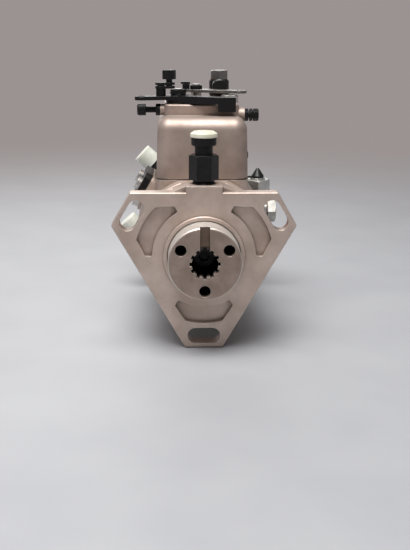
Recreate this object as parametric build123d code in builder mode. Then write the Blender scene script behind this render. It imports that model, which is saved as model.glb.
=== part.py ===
from build123d import *

import os
from math import cos, radians, sin, sqrt

# Distributor-type diesel injection pump with a mechanical governor.
# The drive axis is the Y axis, the drive hub faces -Y, and +Z is up.
# The origin is the centre of the mounting flange's front face, on the drive axis.
# All sizes are millimetres.

os.makedirs("parts", exist_ok=True)

# ---------------------------------------------------------------- fits
running = 0.04  # radial clearance of a turning or sliding fit
seated = 0.02  # radial clearance of a fixed fit
air = 0.3  # gap between pieces that move past each other

# ---------------------------------------------------------------- mounting flange
flange_thickness = 10.0
flange_tip = 58.6  # axis to each of the three short sides
flange_tip_width = 23.5
stud_circle = 50.8  # radius of the stud slots
slot_length = 20.4
slot_width = 10.0
pocket_depth = 3.5
pocket_inner = 31.8
pocket_outer = 42.6
pocket_half_angle = 30.0
pilot_radius = 25.1
pilot_height = 2.0
flange_edge = 0.5

# ---------------------------------------------------------------- housing barrel
barrel_radius = 43.5
neck_radius = 36.0
neck_length = 11.0
shoulder_length = 5.0
chamber_radius = 34.5
chamber_front = 32.0
housing_length = 118.0
deck_half_width = 29.5
deck_front = 38.0
deck_rear = housing_length
deck_height = 40.9
deck_corner = 7.0
opening_half_width = 13.0
opening_front = 46.0
opening_rear = deck_rear - 20.0
rest_pad_height = 0.5  # cast pad under the barrel

# ---------------------------------------------------------------- drive hub
hub_radius = 22.2
hub_stand = 20.5  # hub face in front of the flange face
hub_rear = 33.0
spline_major = 9.3
spline_minor = 8.0
spline_teeth = 12
spline_tooth = 2.3
spline_end = 6.0
gear_circle = 16.7
gear_hole = 3.5
gear_hole_depth = 16.0
keyway_width = 6.1
keyway_depth = 5.0
web_thickness = 6.0
hub_screw_radius = 4.0
hub_screw_head = 6.5
hub_screw_length = 24.0
seal_radius = 27.0
seal_front = 4.0
seal_length = 7.0
bush_radius = 27.5

# ---------------------------------------------------------------- governor
shaft_radius = 9.0
shaft_rear = housing_length - 28.0
cage_front = 35.0
cage_disc = 3.0
cage_radius = 33.0
cage_wall = 2.4
cage_length = 12.0
cage_hub = 14.0
weight_count = 4
weight_pivot = 18.5
weight_pivot_y = 42.5
weight_width = 15.0
weight_outer = 25.0
weight_inner = 15.5
weight_length = 14.5
toe_radius = 12.0
toe_thickness = 3.0
pin_radius = 1.5
sleeve_radius = 11.0
sleeve_flange = 14.0
sleeve_tail = 12.0
sleeve_rear = housing_length - 40.0
arm_thickness = 2.0
arm_half_width = 8.0
arm_pivot_z = deck_height - 2.9
arm_top = deck_height + 25.1
fork_half_gap = 9.6
fork_leg = 3.6
bracket_front = deck_rear - 34.0
bracket_depth = 8.0
bracket_thickness = 2.0
link_z = deck_height + 17.1
link_x = 4.2
valve_x = 8.0
valve_y = deck_rear - 9.0
valve_radius = 2.5
valve_reach = 5.4
seal_groove = 7.0

# ---------------------------------------------------------------- pumping elements
cam_front = housing_length - 30.0
cam_length = 16.0
cam_outer = 34.2
cam_base = 25.3
cam_lobe = 23.5
cam_lobes = 6
rotor_head_radius = 15.0
rotor_radius = 11.0
plunger_radius = 4.0
plunger_y = cam_front + cam_length / 2
roller_radius = 3.6
roller_centre = 19.6
roller_length = 12.0
shoe_inner = 13.8
shoe_width = 11.0
plunger_stroke = 1.5
plunger_inner = 2.6
drive_plate_radius = 21.0
plate_thickness = 3.0

# ---------------------------------------------------------------- hydraulic head
head_front = housing_length - 12.5
head_rear = head_front + 70.5
head_outer = 33.0
outlet_y = head_rear - 24.0
outlet_angles = (0.0, 110.0, 222.0)
outlet_seat = 37.0
banjo_height = 13.0
banjo_radius = 9.0
banjo_bolt_radius = 5.0
banjo_bolt_head = 6.2
banjo_bolt_flats = 17.0
washer_thickness = 1.0
union_flats = 17.5
union_start = 11.0  # banjo centre to the hexagon
union_hexagon = 12.2
union_tube = 5.5
union_end = 29.0
open_union_end = 24.4
outlet_cap_radius = 7.2
outlet_cap_end = 31.0
plug_radius = 4.7
plug_tip = 1.2
plug_end = 31.6

# ---------------------------------------------------------------- transfer pump and end plate
liner_radius = 23.9
liner_bore = 18.0
liner_offset = 2.0
transfer_front = head_rear - 12.0
transfer_rotor_radius = 15.4
blade_thickness = 3.0
blade_height = 5.0
blade_travel = 1.0
end_plate_thickness = 16.0
end_plate_radius = 33.5
end_screw_circle = 27.8
end_screw_count = 4
regulator_radius = 11.0
regulator_length = 16.0
regulator_bore = 6.5
piston_radius = 4.5
piston_travel = 3.0
inlet_angle = 138.0
inlet_radius = 9.0
inlet_seat = 38.0
inlet_flats = 14.2
inlet_cap_radius = 7.6
inlet_cap_end = 58.0

# ---------------------------------------------------------------- inspection cover
inspection_angle = 150.0
inspection_seat = 48.4
inspection_thickness = 4.3
inspection_half_width = 9.0
inspection_rise = 10.6  # round the barrel towards the top
inspection_front = 52.0
inspection_length = 40.0
gasket_thickness = 0.6

# ---------------------------------------------------------------- governor cover
cover_top = deck_height + 39.1
cover_taper = 1.5
cover_wall = 4.0
cover_corner = 9.0
cover_shoulder = 8.0
deck_top = cover_top + 6.8
platform_half_width = deck_half_width - 5.0
platform_front = deck_rear - 58.0
platform_rear = deck_rear - 1.0
platform_roof = 3.0
stud_radius = 3.0
rear_stud_y = deck_rear - 12.0
front_stud_x = deck_half_width - 10.5
front_stud_y = deck_rear - 41.0
vent_y = deck_rear - 43.0
vent_z = deck_height + 11.1

# ---------------------------------------------------------------- control levers
throttle_x = -15.2
throttle_y = deck_rear - 46.0
throttle_shaft = 3.2
throttle_stud = 2.6
lever_gap = 0.5
throttle_hub = 8.0
throttle_hub_height = 4.7
throttle_arm = 2.4
throttle_reach = 25.1
throttle_arm_angle = 198.6
throttle_tip = 4.5
swivel_reach = 11.9
knob_reach = 6.2
throttle_eye = 2.6
stop_block_x = 16.0
stop_block_y = deck_rear - 63.0
stop_block_width = 11.3
stop_block_depth = 8.0
stop_block_bottom = deck_top - 4.0
shutoff_x = -3.0
shutoff_y = deck_rear - 28.0
bar_bottom_z = deck_height + 5.1
shutoff_shaft = 3.5
shutoff_arm = 1.8
shutoff_reach = 30.5
shutoff_arm_angle = -22.0
shutoff_tip = 5.0
stop_screw_y = deck_rear - 51.4
stop_screw_radius = 1.75
max_screw_z = deck_top - 3.8
idle_screw_z = deck_top - 7.2
idle_boss_end = deck_half_width - 1.3
max_boss_end = deck_half_width - 2.5
boss_root = deck_half_width - 7.5
max_shank = 9.4
max_head = 5.6
crank_bottom = deck_height + 28.1

# ---------------------------------------------------------------- unions on top
adaptor_y = 12.5
adaptor_flats = 15.9
boss_top = 43.2
boss_half_width = 11.0
return_x = 13.2
return_y = deck_rear - 10.0
return_flats = 11.2
return_banjo_radius = 6.8
nose_rise = 7.8  # nose axis over the banjo seat
nose_radius = 3.2
nose_length = 14.4
return_cap_radius = 5.05


def across(y):
    """Plane square to the drive axis at depth y: local x is X, local y is Z, it faces -Y."""
    return Plane.XZ.offset(-y)


def above(z):
    """Level plane at height z: local x is X, local y is Y."""
    return Plane.XY.offset(z)


def sideways(x):
    """Upright plane at x, facing +X: local x is Y, local y is Z."""
    return Plane.YZ.offset(x)


def spoke(angle, y):
    """Lathe plane for a piece on a radial axis: local x is the radius, local y runs outwards."""
    out = Vector(cos(radians(angle)), 0, sin(radians(angle)))
    return Plane(origin=(0, y, 0), x_dir=(0, 1, 0), z_dir=Vector(0, 1, 0).cross(out))


def upright(x, y):
    """Lathe plane for a piece on a vertical axis: local x is the radius, local y is Z."""
    return Plane(origin=(x, y, 0), x_dir=(1, 0, 0), z_dir=(0, -1, 0))


def lengthwise(x, z):
    """Lathe plane for a piece on an axis along +Y: local x is the radius, local y is Y."""
    return Plane(origin=(x, 0, z), x_dir=(1, 0, 0), z_dir=(0, 0, 1))


def sidelong(y, z):
    """Lathe plane for a piece on an axis along +X: local x is the radius, local y is X."""
    return Plane(origin=(0, y, z), x_dir=(0, 0, 1), z_dir=(0, 1, 0))


def tangent_plane(angle, radius, y):
    """Plane facing outwards at a polar angle: local x is Y, local y runs round the axis."""
    out = Vector(cos(radians(angle)), 0, sin(radians(angle)))
    return Plane(origin=out * radius + Vector(0, y, 0), x_dir=(0, 1, 0), z_dir=out)


def turned(plane, profile, mode=Mode.ADD):
    """Turn a profile of (radius, distance) points round the plane's local y axis."""
    with BuildSketch(plane) as half:
        with BuildLine():
            Polyline(*profile, close=True)
        make_face()
    revolve(half.sketch, axis=Axis(plane.origin, plane.y_dir), mode=mode)


def rod(plane, radius, start, end, mode=Mode.ADD):
    """A plain cylinder on the plane's local y axis."""
    turned(plane, [(0, start), (radius, start), (radius, end), (0, end)], mode)


def tube(plane, inner, outer, start, end, mode=Mode.ADD):
    """A plain ring on the plane's local y axis."""
    turned(plane, [(inner, start), (outer, start), (outer, end), (inner, end)], mode)


def hexagon(plane, flats, height, start=0.0, bore=0.0, turn=0.0):
    """A hexagonal prism on the plane's normal, with an optional bore."""
    with BuildSketch(plane.offset(start)) as outline:
        RegularPolygon(flats / 2, 6, major_radius=False, rotation=turn)
        if bore:
            Circle(bore, mode=Mode.SUBTRACT)
    extrude(outline.sketch, amount=height)
    # The outer corners are turned off at thirty degrees.
    lathe = Plane(origin=plane.origin, x_dir=plane.x_dir, z_dir=plane.x_dir.cross(plane.z_dir))
    corner = flats / sqrt(3)
    face = 0.48 * flats
    drop = (corner - face) * sqrt(3) / 3
    top = start + height
    clear = corner + 0.2
    turned(lathe, [(face, top), (clear, top), (clear, top - drop - 0.12)], Mode.SUBTRACT)


def lid_screw(along):
    """Lathe plane for a screw of the inspection cover, at a distance behind its front edge."""
    seat_middle = tangent_plane(inspection_angle, 0, inspection_front + along)
    out = spoke(inspection_angle, inspection_front + along)
    return Plane(origin=seat_middle.origin - seat_middle.y_dir * inspection_rise, x_dir=out.x_dir, z_dir=out.z_dir)


DRIVE = lengthwise(0, 0)
cover_stud_places = ((throttle_x, rear_stud_y), (front_stud_x, front_stud_y))

# ================================================================ drive line

hub_front = -hub_stand
web_rear = spline_end + web_thickness
with BuildPart() as drive_hub:
    # Turned steel hub: spline bore in front, web for the screw, socket for the shaft behind.
    turned(
        DRIVE,
        [
            (0, hub_front),
            (hub_radius - 0.8, hub_front),
            (hub_radius, hub_front + 0.8),
            (hub_radius, hub_rear),
            (0, hub_rear),
        ],
    )
    rod(DRIVE, hub_screw_radius + seated, spline_end, web_rear, Mode.SUBTRACT)
    rod(DRIVE, shaft_radius + seated, web_rear, hub_rear, Mode.SUBTRACT)
    tooth_height = spline_major - spline_minor + 1
    with BuildSketch(across(hub_front)) as spline:
        Circle(spline_minor)
        with PolarLocations(spline_major - tooth_height / 2, spline_teeth, start_angle=90):
            Rectangle(tooth_height, spline_tooth)
    extrude(spline.sketch, amount=-(spline_end - hub_front), mode=Mode.SUBTRACT)
    with BuildSketch(across(hub_front)) as gear_holes:
        with PolarLocations(gear_circle, 3, start_angle=30):
            Circle(gear_hole)
    extrude(gear_holes.sketch, amount=-gear_hole_depth, mode=Mode.SUBTRACT)
    with BuildSketch(across(hub_front)) as keyway:
        with Locations((0, hub_radius / 2)):
            Rectangle(keyway_width, hub_radius + 2)
    extrude(keyway.sketch, amount=-keyway_depth, mode=Mode.SUBTRACT)

plate_front = cam_front - 1 - plate_thickness
rotor_front = plate_front + plate_thickness
with BuildPart() as drive_screws:
    # Socket-head screw that pulls the hub onto the drive shaft, and two screws
    # that hold the drive plate to the rotor.
    rod(DRIVE, hub_screw_head, spline_end - 6, spline_end)
    rod(DRIVE, hub_screw_radius, spline_end, spline_end + hub_screw_length)
    with BuildSketch(across(spline_end - 6)) as socket:
        RegularPolygon(3.0, 6, major_radius=False)
    extrude(socket.sketch, amount=-3.5, mode=Mode.SUBTRACT)
    for z in (-12.5, 12.5):
        rod(lengthwise(0, z), 3.4, plate_front - 2.2, plate_front)
        rod(lengthwise(0, z), 2.0, plate_front, rotor_front + 3.5)

with BuildPart() as drive_shaft:
    # Plain shaft with a splined tail that drives the rotor's plate.
    rod(DRIVE, shaft_radius, web_rear, cam_front - 5)
    with BuildSketch(across(cam_front - 5)) as tail:
        Circle(6.4)
        with PolarLocations(6.6, 8):
            Rectangle(1.8, 2.2)
    extrude(tail.sketch, amount=-(shaft_rear - cam_front + 5))
    rod(DRIVE, hub_screw_radius + seated, web_rear, spline_end + hub_screw_length + 3, Mode.SUBTRACT)

cage_rear = cage_front + cage_disc + cage_length
with BuildPart() as weight_cage:
    # Pressed steel carrier with windows that the weights swing in.
    turned(
        DRIVE,
        [
            (shaft_radius + seated, cage_front),
            (cage_radius, cage_front),
            (cage_radius, cage_rear),
            (cage_radius - cage_wall, cage_rear),
            (cage_radius - cage_wall, cage_front + cage_disc),
            (shaft_radius + seated, cage_front + cage_disc),
        ],
    )
    for k in range(weight_count):
        lug_angle = 360 / weight_count * k
        cheek = tangent_plane(lug_angle, toe_radius + 2, weight_pivot_y)
        with BuildSketch(cheek) as cheeks:
            for side in (-1, 1):
                with Locations((-weight_pivot_y + cage_front + cage_disc + 3.6, side * (weight_width / 2 + 2))):
                    Rectangle(7.4, 2.6)
        extrude(cheeks.sketch, amount=9)
    for k in range(weight_count):
        pin_plane = tangent_plane(360 / weight_count * k, weight_pivot, weight_pivot_y)
        with BuildSketch(Plane(pin_plane.origin, x_dir=(0, 1, 0), z_dir=pin_plane.y_dir)) as pin_hole:
            Circle(pin_radius + seated)
        extrude(pin_hole.sketch, amount=weight_width / 2 + 4, both=True, mode=Mode.SUBTRACT)

    # One loose hinge pin for each governor weight.
    for k in range(weight_count):
        pin_plane = tangent_plane(360 / weight_count * k, weight_pivot, weight_pivot_y)
        with BuildSketch(Plane(pin_plane.origin, x_dir=(0, 1, 0), z_dir=pin_plane.y_dir)) as pin:
            Circle(pin_radius)
        extrude(pin.sketch, amount=weight_width / 2 + 3.2, both=True)

toe_front = weight_pivot_y - toe_thickness / 2
weights = []
for k in range(weight_count):
    angle = 360 / weight_count * k
    with BuildPart() as weight:
        # Bell-crank weight: a heavy block behind the pin, a toe that reaches in to the sleeve.
        side_view = Plane(
            origin=(0, 0, 0),
            x_dir=(cos(radians(angle)), 0, sin(radians(angle))),
            z_dir=(-sin(radians(angle)), 0, cos(radians(angle))),
        )
        block_front = weight_pivot_y - 2.6
        with BuildSketch(side_view) as outline:
            with BuildLine():
                Polyline(
                    (toe_radius, toe_front),
                    (weight_inner, toe_front),
                    (weight_inner, block_front),
                    (weight_outer - 2, block_front),
                    (weight_outer, block_front + 2),
                    (weight_outer, weight_pivot_y + weight_length),
                    (weight_inner, weight_pivot_y + weight_length),
                    (weight_inner, toe_front + toe_thickness),
                    (toe_radius, toe_front + toe_thickness),
                    close=True,
                )
            make_face()
            with Locations((weight_pivot, weight_pivot_y)):
                Circle(pin_radius + running, mode=Mode.SUBTRACT)
        extrude(outline.sketch, amount=weight_width / 2, both=True)
    weights.append(weight)

sleeve_front = toe_front + toe_thickness + air
with BuildPart() as thrust_sleeve:
    # Sleeve that slides on the shaft: toes push its front flange, its tail pushes the arm.
    turned(
        DRIVE,
        [
            (shaft_radius + running, sleeve_front),
            (sleeve_flange, sleeve_front),
            (sleeve_flange, sleeve_front + 2.2),
            (sleeve_radius, sleeve_front + 2.2),
            (sleeve_radius, sleeve_rear - 3),
            (sleeve_tail, sleeve_rear - 3),
            (sleeve_tail, sleeve_rear),
            (shaft_radius + running, sleeve_rear),
        ],
    )

with BuildPart() as drive_plate:
    # Plate screwed to the rotor, with a splined hole for the shaft's tail.
    tube(DRIVE, 7.7, drive_plate_radius, plate_front, plate_front + plate_thickness)
    with BuildSketch(across(plate_front)) as notches:
        with PolarLocations(12.5, 2, start_angle=90):
            Circle(2.1)
    extrude(notches.sketch, amount=-plate_thickness, mode=Mode.SUBTRACT)

with BuildPart() as rotor:
    # Distributor rotor: cross bore for the plungers, long lapped stem in the head.
    head_end = cam_front + cam_length
    rotor_rear = transfer_front + 0.2
    turned(
        DRIVE,
        [
            (0, rotor_front),
            (rotor_head_radius, rotor_front),
            (rotor_head_radius, head_end),
            (rotor_radius, head_end),
            (rotor_radius, rotor_rear),
            (0, rotor_rear),
        ],
    )
    rod(DRIVE, 7.7, rotor_front, shaft_rear + 0.5, Mode.SUBTRACT)
    # Slots on both sides that the roller shoes slide in.
    for side in (0, 180):
        with BuildSketch(tangent_plane(side, shoe_inner - plunger_stroke - air, plunger_y)) as shoe_slot:
            Rectangle(roller_length + 2 * air, shoe_width + 2 * air)
        extrude(shoe_slot.sketch, amount=rotor_head_radius, mode=Mode.SUBTRACT)
    cross_bore = spoke(0, plunger_y)
    rod(cross_bore, plunger_radius + running, -rotor_head_radius - 1, rotor_head_radius + 1, Mode.SUBTRACT)
    rod(DRIVE, 1.5, plunger_y, outlet_y, Mode.SUBTRACT)
    rod(spoke(outlet_angles[0], outlet_y), 1.2, 0, rotor_radius + 1, Mode.SUBTRACT)
    for z in (-12.5, 12.5):
        rod(lengthwise(0, z), 2.0, rotor_front, rotor_front + 4, Mode.SUBTRACT)

plungers = []
rollers = []
for side in (0, 180):
    axis_out = spoke(side, plunger_y)
    with BuildPart() as plunger:
        # Lapped pumping plunger, and the loose shoe that cradles the roller.
        with BuildSketch(tangent_plane(side, shoe_inner, plunger_y)) as pad:
            Rectangle(roller_length, shoe_width)
        extrude(pad.sketch, amount=roller_centre - shoe_inner)
        cradle = lengthwise(roller_centre * cos(radians(side)), 0)
        rod(cradle, roller_radius + running, plunger_y - roller_length, plunger_y + roller_length, Mode.SUBTRACT)
        rod(axis_out, plunger_radius, plunger_inner, shoe_inner - seated)
    plungers.append(plunger)
    with BuildPart() as roller:
        # Hardened roller that follows the cam lobes.
        rod(cradle, roller_radius, plunger_y - roller_length / 2, plunger_y + roller_length / 2)
    rollers.append(roller)

with BuildPart() as transfer_rotor:
    # Vane carrier screwed into the rotor's tail, slotted for two blades.
    rod(DRIVE, transfer_rotor_radius, rotor_rear + seated, head_rear - 0.2)
    with BuildSketch(across(rotor_rear + 1)) as slots:
        for side in (-1, 1):
            with Locations((0, side * (transfer_rotor_radius - blade_height / 2 - 0.2))):
                Rectangle(blade_thickness + 2 * running, blade_height + 2 * blade_travel + 1)
    extrude(slots.sketch, amount=-(head_rear - transfer_front), mode=Mode.SUBTRACT)

blades = []
for side in (-1, 1):
    with BuildPart() as blade:
        # Carbon transfer-pump blade.
        with BuildSketch(across(rotor_rear + 1.2)) as blade_face:
            with Locations((0, side * (transfer_rotor_radius - blade_height / 2 + 0.25))):
                Rectangle(blade_thickness, blade_height)
        extrude(blade_face.sketch, amount=-(head_rear - rotor_rear - 1.5))
    blades.append(blade)

# ================================================================ pump housing

flange_corners = []
for k in range(3):
    turn = radians(270 + 120 * k)
    for half in (-flange_tip_width / 2, flange_tip_width / 2):
        flange_corners.append(
            (flange_tip * cos(turn) - half * sin(turn), flange_tip * sin(turn) + half * cos(turn))
        )
flange_side = (flange_tip_width * sqrt(3) / 2 + flange_tip) / 2  # axis to each long side
barrel_start = flange_thickness + neck_length
bush_front = seal_front + seal_length
inspection_base = inspection_seat - gasket_thickness
with BuildPart() as pump_housing:
    # Cast aluminium body: three-cornered flange, round barrel, square deck for the cover.
    with BuildSketch(across(0)) as flange_outline:
        with BuildLine():
            Polyline(*flange_corners, close=True)
        make_face()
        fillet(flange_outline.vertices(), 1.5)
    extrude(flange_outline.sketch, amount=-flange_thickness)
    chamfer(pump_housing.faces().filter_by(Axis.Y).edges(), flange_edge)
    turned(
        DRIVE,
        [
            (0, -pilot_height),
            (pilot_radius - 0.4, -pilot_height),
            (pilot_radius, 0.4 - pilot_height),
            (pilot_radius, flange_thickness / 2),
            (neck_radius, flange_thickness / 2),
            (neck_radius, barrel_start),
            (barrel_radius, barrel_start + shoulder_length),
            (barrel_radius, housing_length),
            (0, housing_length),
        ],
    )
    # Square deck on top of the barrel.
    with BuildSketch(above(10)) as deck:
        with Locations((0, (deck_front + deck_rear) / 2)):
            RectangleRounded(2 * deck_half_width, deck_rear - deck_front, deck_corner)
    extrude(deck.sketch, amount=deck_height - 10)
    # Boss behind the flange's top edge for the drain adaptor, with sloping gussets.
    with BuildSketch(across(0)) as boss:
        with Locations((0, boss_top - 4)):
            Rectangle(2 * boss_half_width, 8)
    extrude(boss.sketch, amount=-(2 * adaptor_y - 3))
    with BuildSketch(across(3)) as gusset:
        with BuildLine():
            Polyline(
                (-boss_half_width - 8.2, flange_side - 3),
                (-boss_half_width - 8.2, flange_side),
                (-boss_half_width + 0.8, boss_top),
                (boss_half_width - 0.8, boss_top),
                (boss_half_width + 8.2, flange_side),
                (boss_half_width + 8.2, flange_side - 3),
                close=True,
            )
        make_face()
    extrude(gusset.sketch, amount=-(2 * adaptor_y - 8))
    # Web that ties the boss down to the neck and back to the deck.
    with BuildSketch(across(flange_thickness / 2)) as web:
        with Locations((0, 32)):
            Rectangle(2 * boss_half_width, 16)
    extrude(web.sketch, amount=-(deck_front - flange_thickness / 2))
    # The barrel is machined flat at the height of the deck.
    with BuildSketch(above(deck_height)) as skim:
        with Locations((0, (flange_thickness + housing_length) / 2 + adaptor_y)):
            Rectangle(4 * barrel_radius, housing_length - flange_thickness)
    extrude(skim.sketch, amount=barrel_radius, mode=Mode.SUBTRACT)
    # Flat seat for the inspection cover.
    with BuildSketch(tangent_plane(inspection_angle, 30, inspection_front)) as seat:
        with Locations((inspection_length / 2, -inspection_rise)):
            RectangleRounded(inspection_length, 2 * inspection_half_width, 5)
    extrude(seat.sketch, amount=inspection_base - 30)
    # Cast pad and cam-screw boss under the barrel.
    with BuildSketch(above(-barrel_radius - rest_pad_height)) as pad:
        with Locations((0, plunger_y)):
            Circle(9)
    extrude(pad.sketch, amount=8)
    # Bosses for the two head-locking screws.
    for turn in (20, 160):
        rod(spoke(turn, head_front + 5), 7, 30, barrel_radius + 1.5)
    # Front bores: hub clearance, oil seal, bush.
    rod(DRIVE, hub_radius + 0.5, -pilot_height - 1, seal_front, Mode.SUBTRACT)
    rod(DRIVE, seal_radius, seal_front, bush_front, Mode.SUBTRACT)
    rod(DRIVE, bush_radius, bush_front, chamber_front, Mode.SUBTRACT)
    # Cam and governor chamber, open at the rear for the hydraulic head.
    rod(DRIVE, chamber_radius, chamber_front, housing_length + 1, Mode.SUBTRACT)
    # Governor opening through the deck.
    with BuildSketch(above(20)) as opening:
        with Locations((0, (opening_front + opening_rear) / 2)):
            RectangleRounded(2 * opening_half_width, opening_rear - opening_front, 4)
    extrude(opening.sketch, amount=deck_height, mode=Mode.SUBTRACT)
    # Window behind the inspection cover.
    with BuildSketch(tangent_plane(inspection_angle, 20, inspection_front)) as window:
        with Locations((inspection_length / 2, -inspection_rise)):
            RectangleRounded(inspection_length - 18, 2 * inspection_half_width - 10, 3)
    extrude(window.sketch, amount=40, mode=Mode.SUBTRACT)
    # Shallow cast pockets in the flange face, between pilot and studs.
    with BuildSketch(Plane.XY, mode=Mode.PRIVATE) as pocket:
        near = (pocket_inner * sin(radians(pocket_half_angle)), pocket_inner * cos(radians(pocket_half_angle)))
        side = (near[0] + 2.1, near[1] + 3.7)
        far = (pocket_outer * sin(radians(16)), pocket_outer * cos(radians(16)))
        with BuildLine():
            ThreePointArc((-near[0], near[1]), (0, pocket_inner), near)
            Line(near, side)
            Line(side, far)
            ThreePointArc(far, (0, pocket_outer), (-far[0], far[1]))
            Line((-far[0], far[1]), (-side[0], side[1]))
            Line((-side[0], side[1]), (-near[0], near[1]))
        make_face()
        fillet(pocket.vertices(), 1.4)
    with BuildSketch(across(0)) as pockets:
        with PolarLocations(0, 3, start_angle=60):
            add(pocket.sketch)
    extrude(pockets.sketch, amount=-pocket_depth, mode=Mode.SUBTRACT)
    # Stud slots, so that the pump can be turned a little for timing.
    with BuildSketch(across(0)) as stud_slots:
        with PolarLocations(stud_circle, 3, start_angle=30):
            SlotOverall(slot_length, slot_width, rotation=90)
    extrude(stud_slots.sketch, amount=-flange_thickness - 2, mode=Mode.SUBTRACT)
    # Drain bore under the adaptor, down to the seal pocket.
    rod(upright(0, adaptor_y), 5 + seated, 33, boss_top + 1, Mode.SUBTRACT)
    rod(upright(0, seal_front + 3), 2.5, 26, 36, Mode.SUBTRACT)
    # Cam-locating screw and head-locking screws.
    rod(upright(0, plunger_y), 4 + seated, -barrel_radius - 2, -20, Mode.SUBTRACT)
    for turn in (20, 160):
        rod(spoke(turn, head_front + 5), 4 + seated, 30, barrel_radius + 3, Mode.SUBTRACT)
    # Metering-valve passage and cover-stud holes in the deck.
    rod(upright(valve_x, valve_y), valve_radius + 1.5, 20, deck_height + 1, Mode.SUBTRACT)
    for x, y in cover_stud_places:
        rod(upright(x, y), stud_radius + seated, deck_height - 8, deck_height + 1, Mode.SUBTRACT)
    # Tapped holes of the fulcrum bracket and the inspection cover.
    for side in (-1, 1):
        bracket_hole = upright(side * 17, bracket_front + bracket_depth / 2)
        rod(bracket_hole, 2 + seated, deck_height - 8, deck_height + 1, Mode.SUBTRACT)
    for along in (4.5, inspection_length - 4.5):
        lid_hole = lid_screw(along)
        rod(lid_hole, 2.5 + seated, inspection_base - 8, inspection_base + 1, Mode.SUBTRACT)

with BuildPart() as oil_seal:
    # Lip seal pressed in behind the pilot, with two lips on the hub.
    turned(
        DRIVE,
        [
            (hub_radius + 0.05, seal_front + 1),
            (seal_radius - seated, seal_front + 0.1),
            (seal_radius - seated, seal_front + seal_length - 0.1),
            (hub_radius + 2, seal_front + seal_length - 0.1),
            (hub_radius + 0.05, seal_front + seal_length - 1.2),
            (hub_radius + 1.6, seal_front + seal_length / 2),
        ],
    )

with BuildPart() as hub_bush:
    # Bronze bush that carries the hub.
    tube(DRIVE, hub_radius + running, bush_radius - seated, bush_front + 0.1, chamber_front)

with BuildPart() as cam_ring:
    # Internal cam: a round ring with inward lobes, held by the screw underneath.
    with BuildSketch(across(cam_front)) as cam:
        Circle(cam_outer)
        Circle(cam_base, mode=Mode.SUBTRACT)
        with PolarLocations(cam_base + 1.6, cam_lobes, start_angle=30):
            Circle(cam_base - cam_lobe + 1.6)
        with PolarLocations(cam_outer + 5, cam_lobes, start_angle=0):
            Circle(1.0, mode=Mode.SUBTRACT)
    extrude(cam.sketch, amount=-cam_length)
    rod(upright(0, plunger_y), 3.2, -cam_outer - 2, -cam_outer + 5, Mode.SUBTRACT)

# ================================================================ hydraulic head

head_radius = chamber_radius - seated
with BuildPart() as hydraulic_head:
    # Steel head: rotor bore, metering-valve bore, radial outlets, transfer-pump recess.
    turned(
        DRIVE,
        [
            (0, head_front),
            (head_radius, head_front),
            (head_radius, head_front + seal_groove),
            (head_radius - 2.2, head_front + seal_groove),
            (head_radius - 2.2, head_front + seal_groove + 2.6),
            (head_radius, head_front + seal_groove + 2.6),
            (head_radius, housing_length + 4),
            (head_outer, housing_length + 5),
            (head_outer, head_rear),
            (0, head_rear),
        ],
    )
    for outlet_angle in outlet_angles:
        rod(spoke(outlet_angle, outlet_y), 10.5, 20, outlet_seat)
    rod(DRIVE, rotor_radius + running, head_front - 1, transfer_front + 1, Mode.SUBTRACT)
    rod(DRIVE, liner_radius + seated, transfer_front, head_rear + 1, Mode.SUBTRACT)
    for outlet_angle in outlet_angles:
        outlet = spoke(outlet_angle, outlet_y)
        rod(outlet, banjo_bolt_radius + seated, outlet_seat - 15, outlet_seat + 1, Mode.SUBTRACT)
        rod(outlet, 1.2, rotor_radius - 1, outlet_seat - 14, Mode.SUBTRACT)
    rod(upright(valve_x, valve_y), valve_radius + running, 14, head_radius + 1, Mode.SUBTRACT)
    with BuildSketch(across(head_rear)) as end_holes:
        with PolarLocations(end_screw_circle, end_screw_count):
            Circle(2.5 + seated)
    extrude(end_holes.sketch, amount=14, mode=Mode.SUBTRACT)

with BuildPart() as o_rings:
    # Rubber rings: one in the head's groove, one let into the end plate round the rotor.
    ring_front = head_front + seal_groove + 0.1
    tube(DRIVE, head_radius - 2.18, head_radius - 0.05, ring_front, ring_front + 2.4)
    tube(DRIVE, 13.2, 15.8, head_rear + 0.02, head_rear + 0.98)

with BuildPart() as transfer_liner:
    # Eccentric liner of the vane pump.
    with BuildSketch(across(transfer_front)) as liner:
        Circle(liner_radius)
        with Locations((0, liner_offset)):
            Circle(liner_bore, mode=Mode.SUBTRACT)
    extrude(liner.sketch, amount=-(head_rear - transfer_front))

with BuildPart() as metering_valve:
    # Rotary metering valve with its lever on top.
    pin_x = valve_x - valve_reach
    rod(upright(valve_x, valve_y), valve_radius, 15, 47)
    with BuildSketch(above(47)) as valve_lever:
        with Locations((valve_x, valve_y)):
            Circle(valve_radius + 0.5)
        with Locations((valve_x - valve_reach / 2, valve_y)):
            Rectangle(valve_reach, 3.6)
        with Locations((pin_x, valve_y)):
            Circle(1.8)
    extrude(valve_lever.sketch, amount=1.6)
    rod(upright(pin_x, valve_y), 1.0, 48.6, link_z + 3)


# ================================================================ governor linkage

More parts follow.
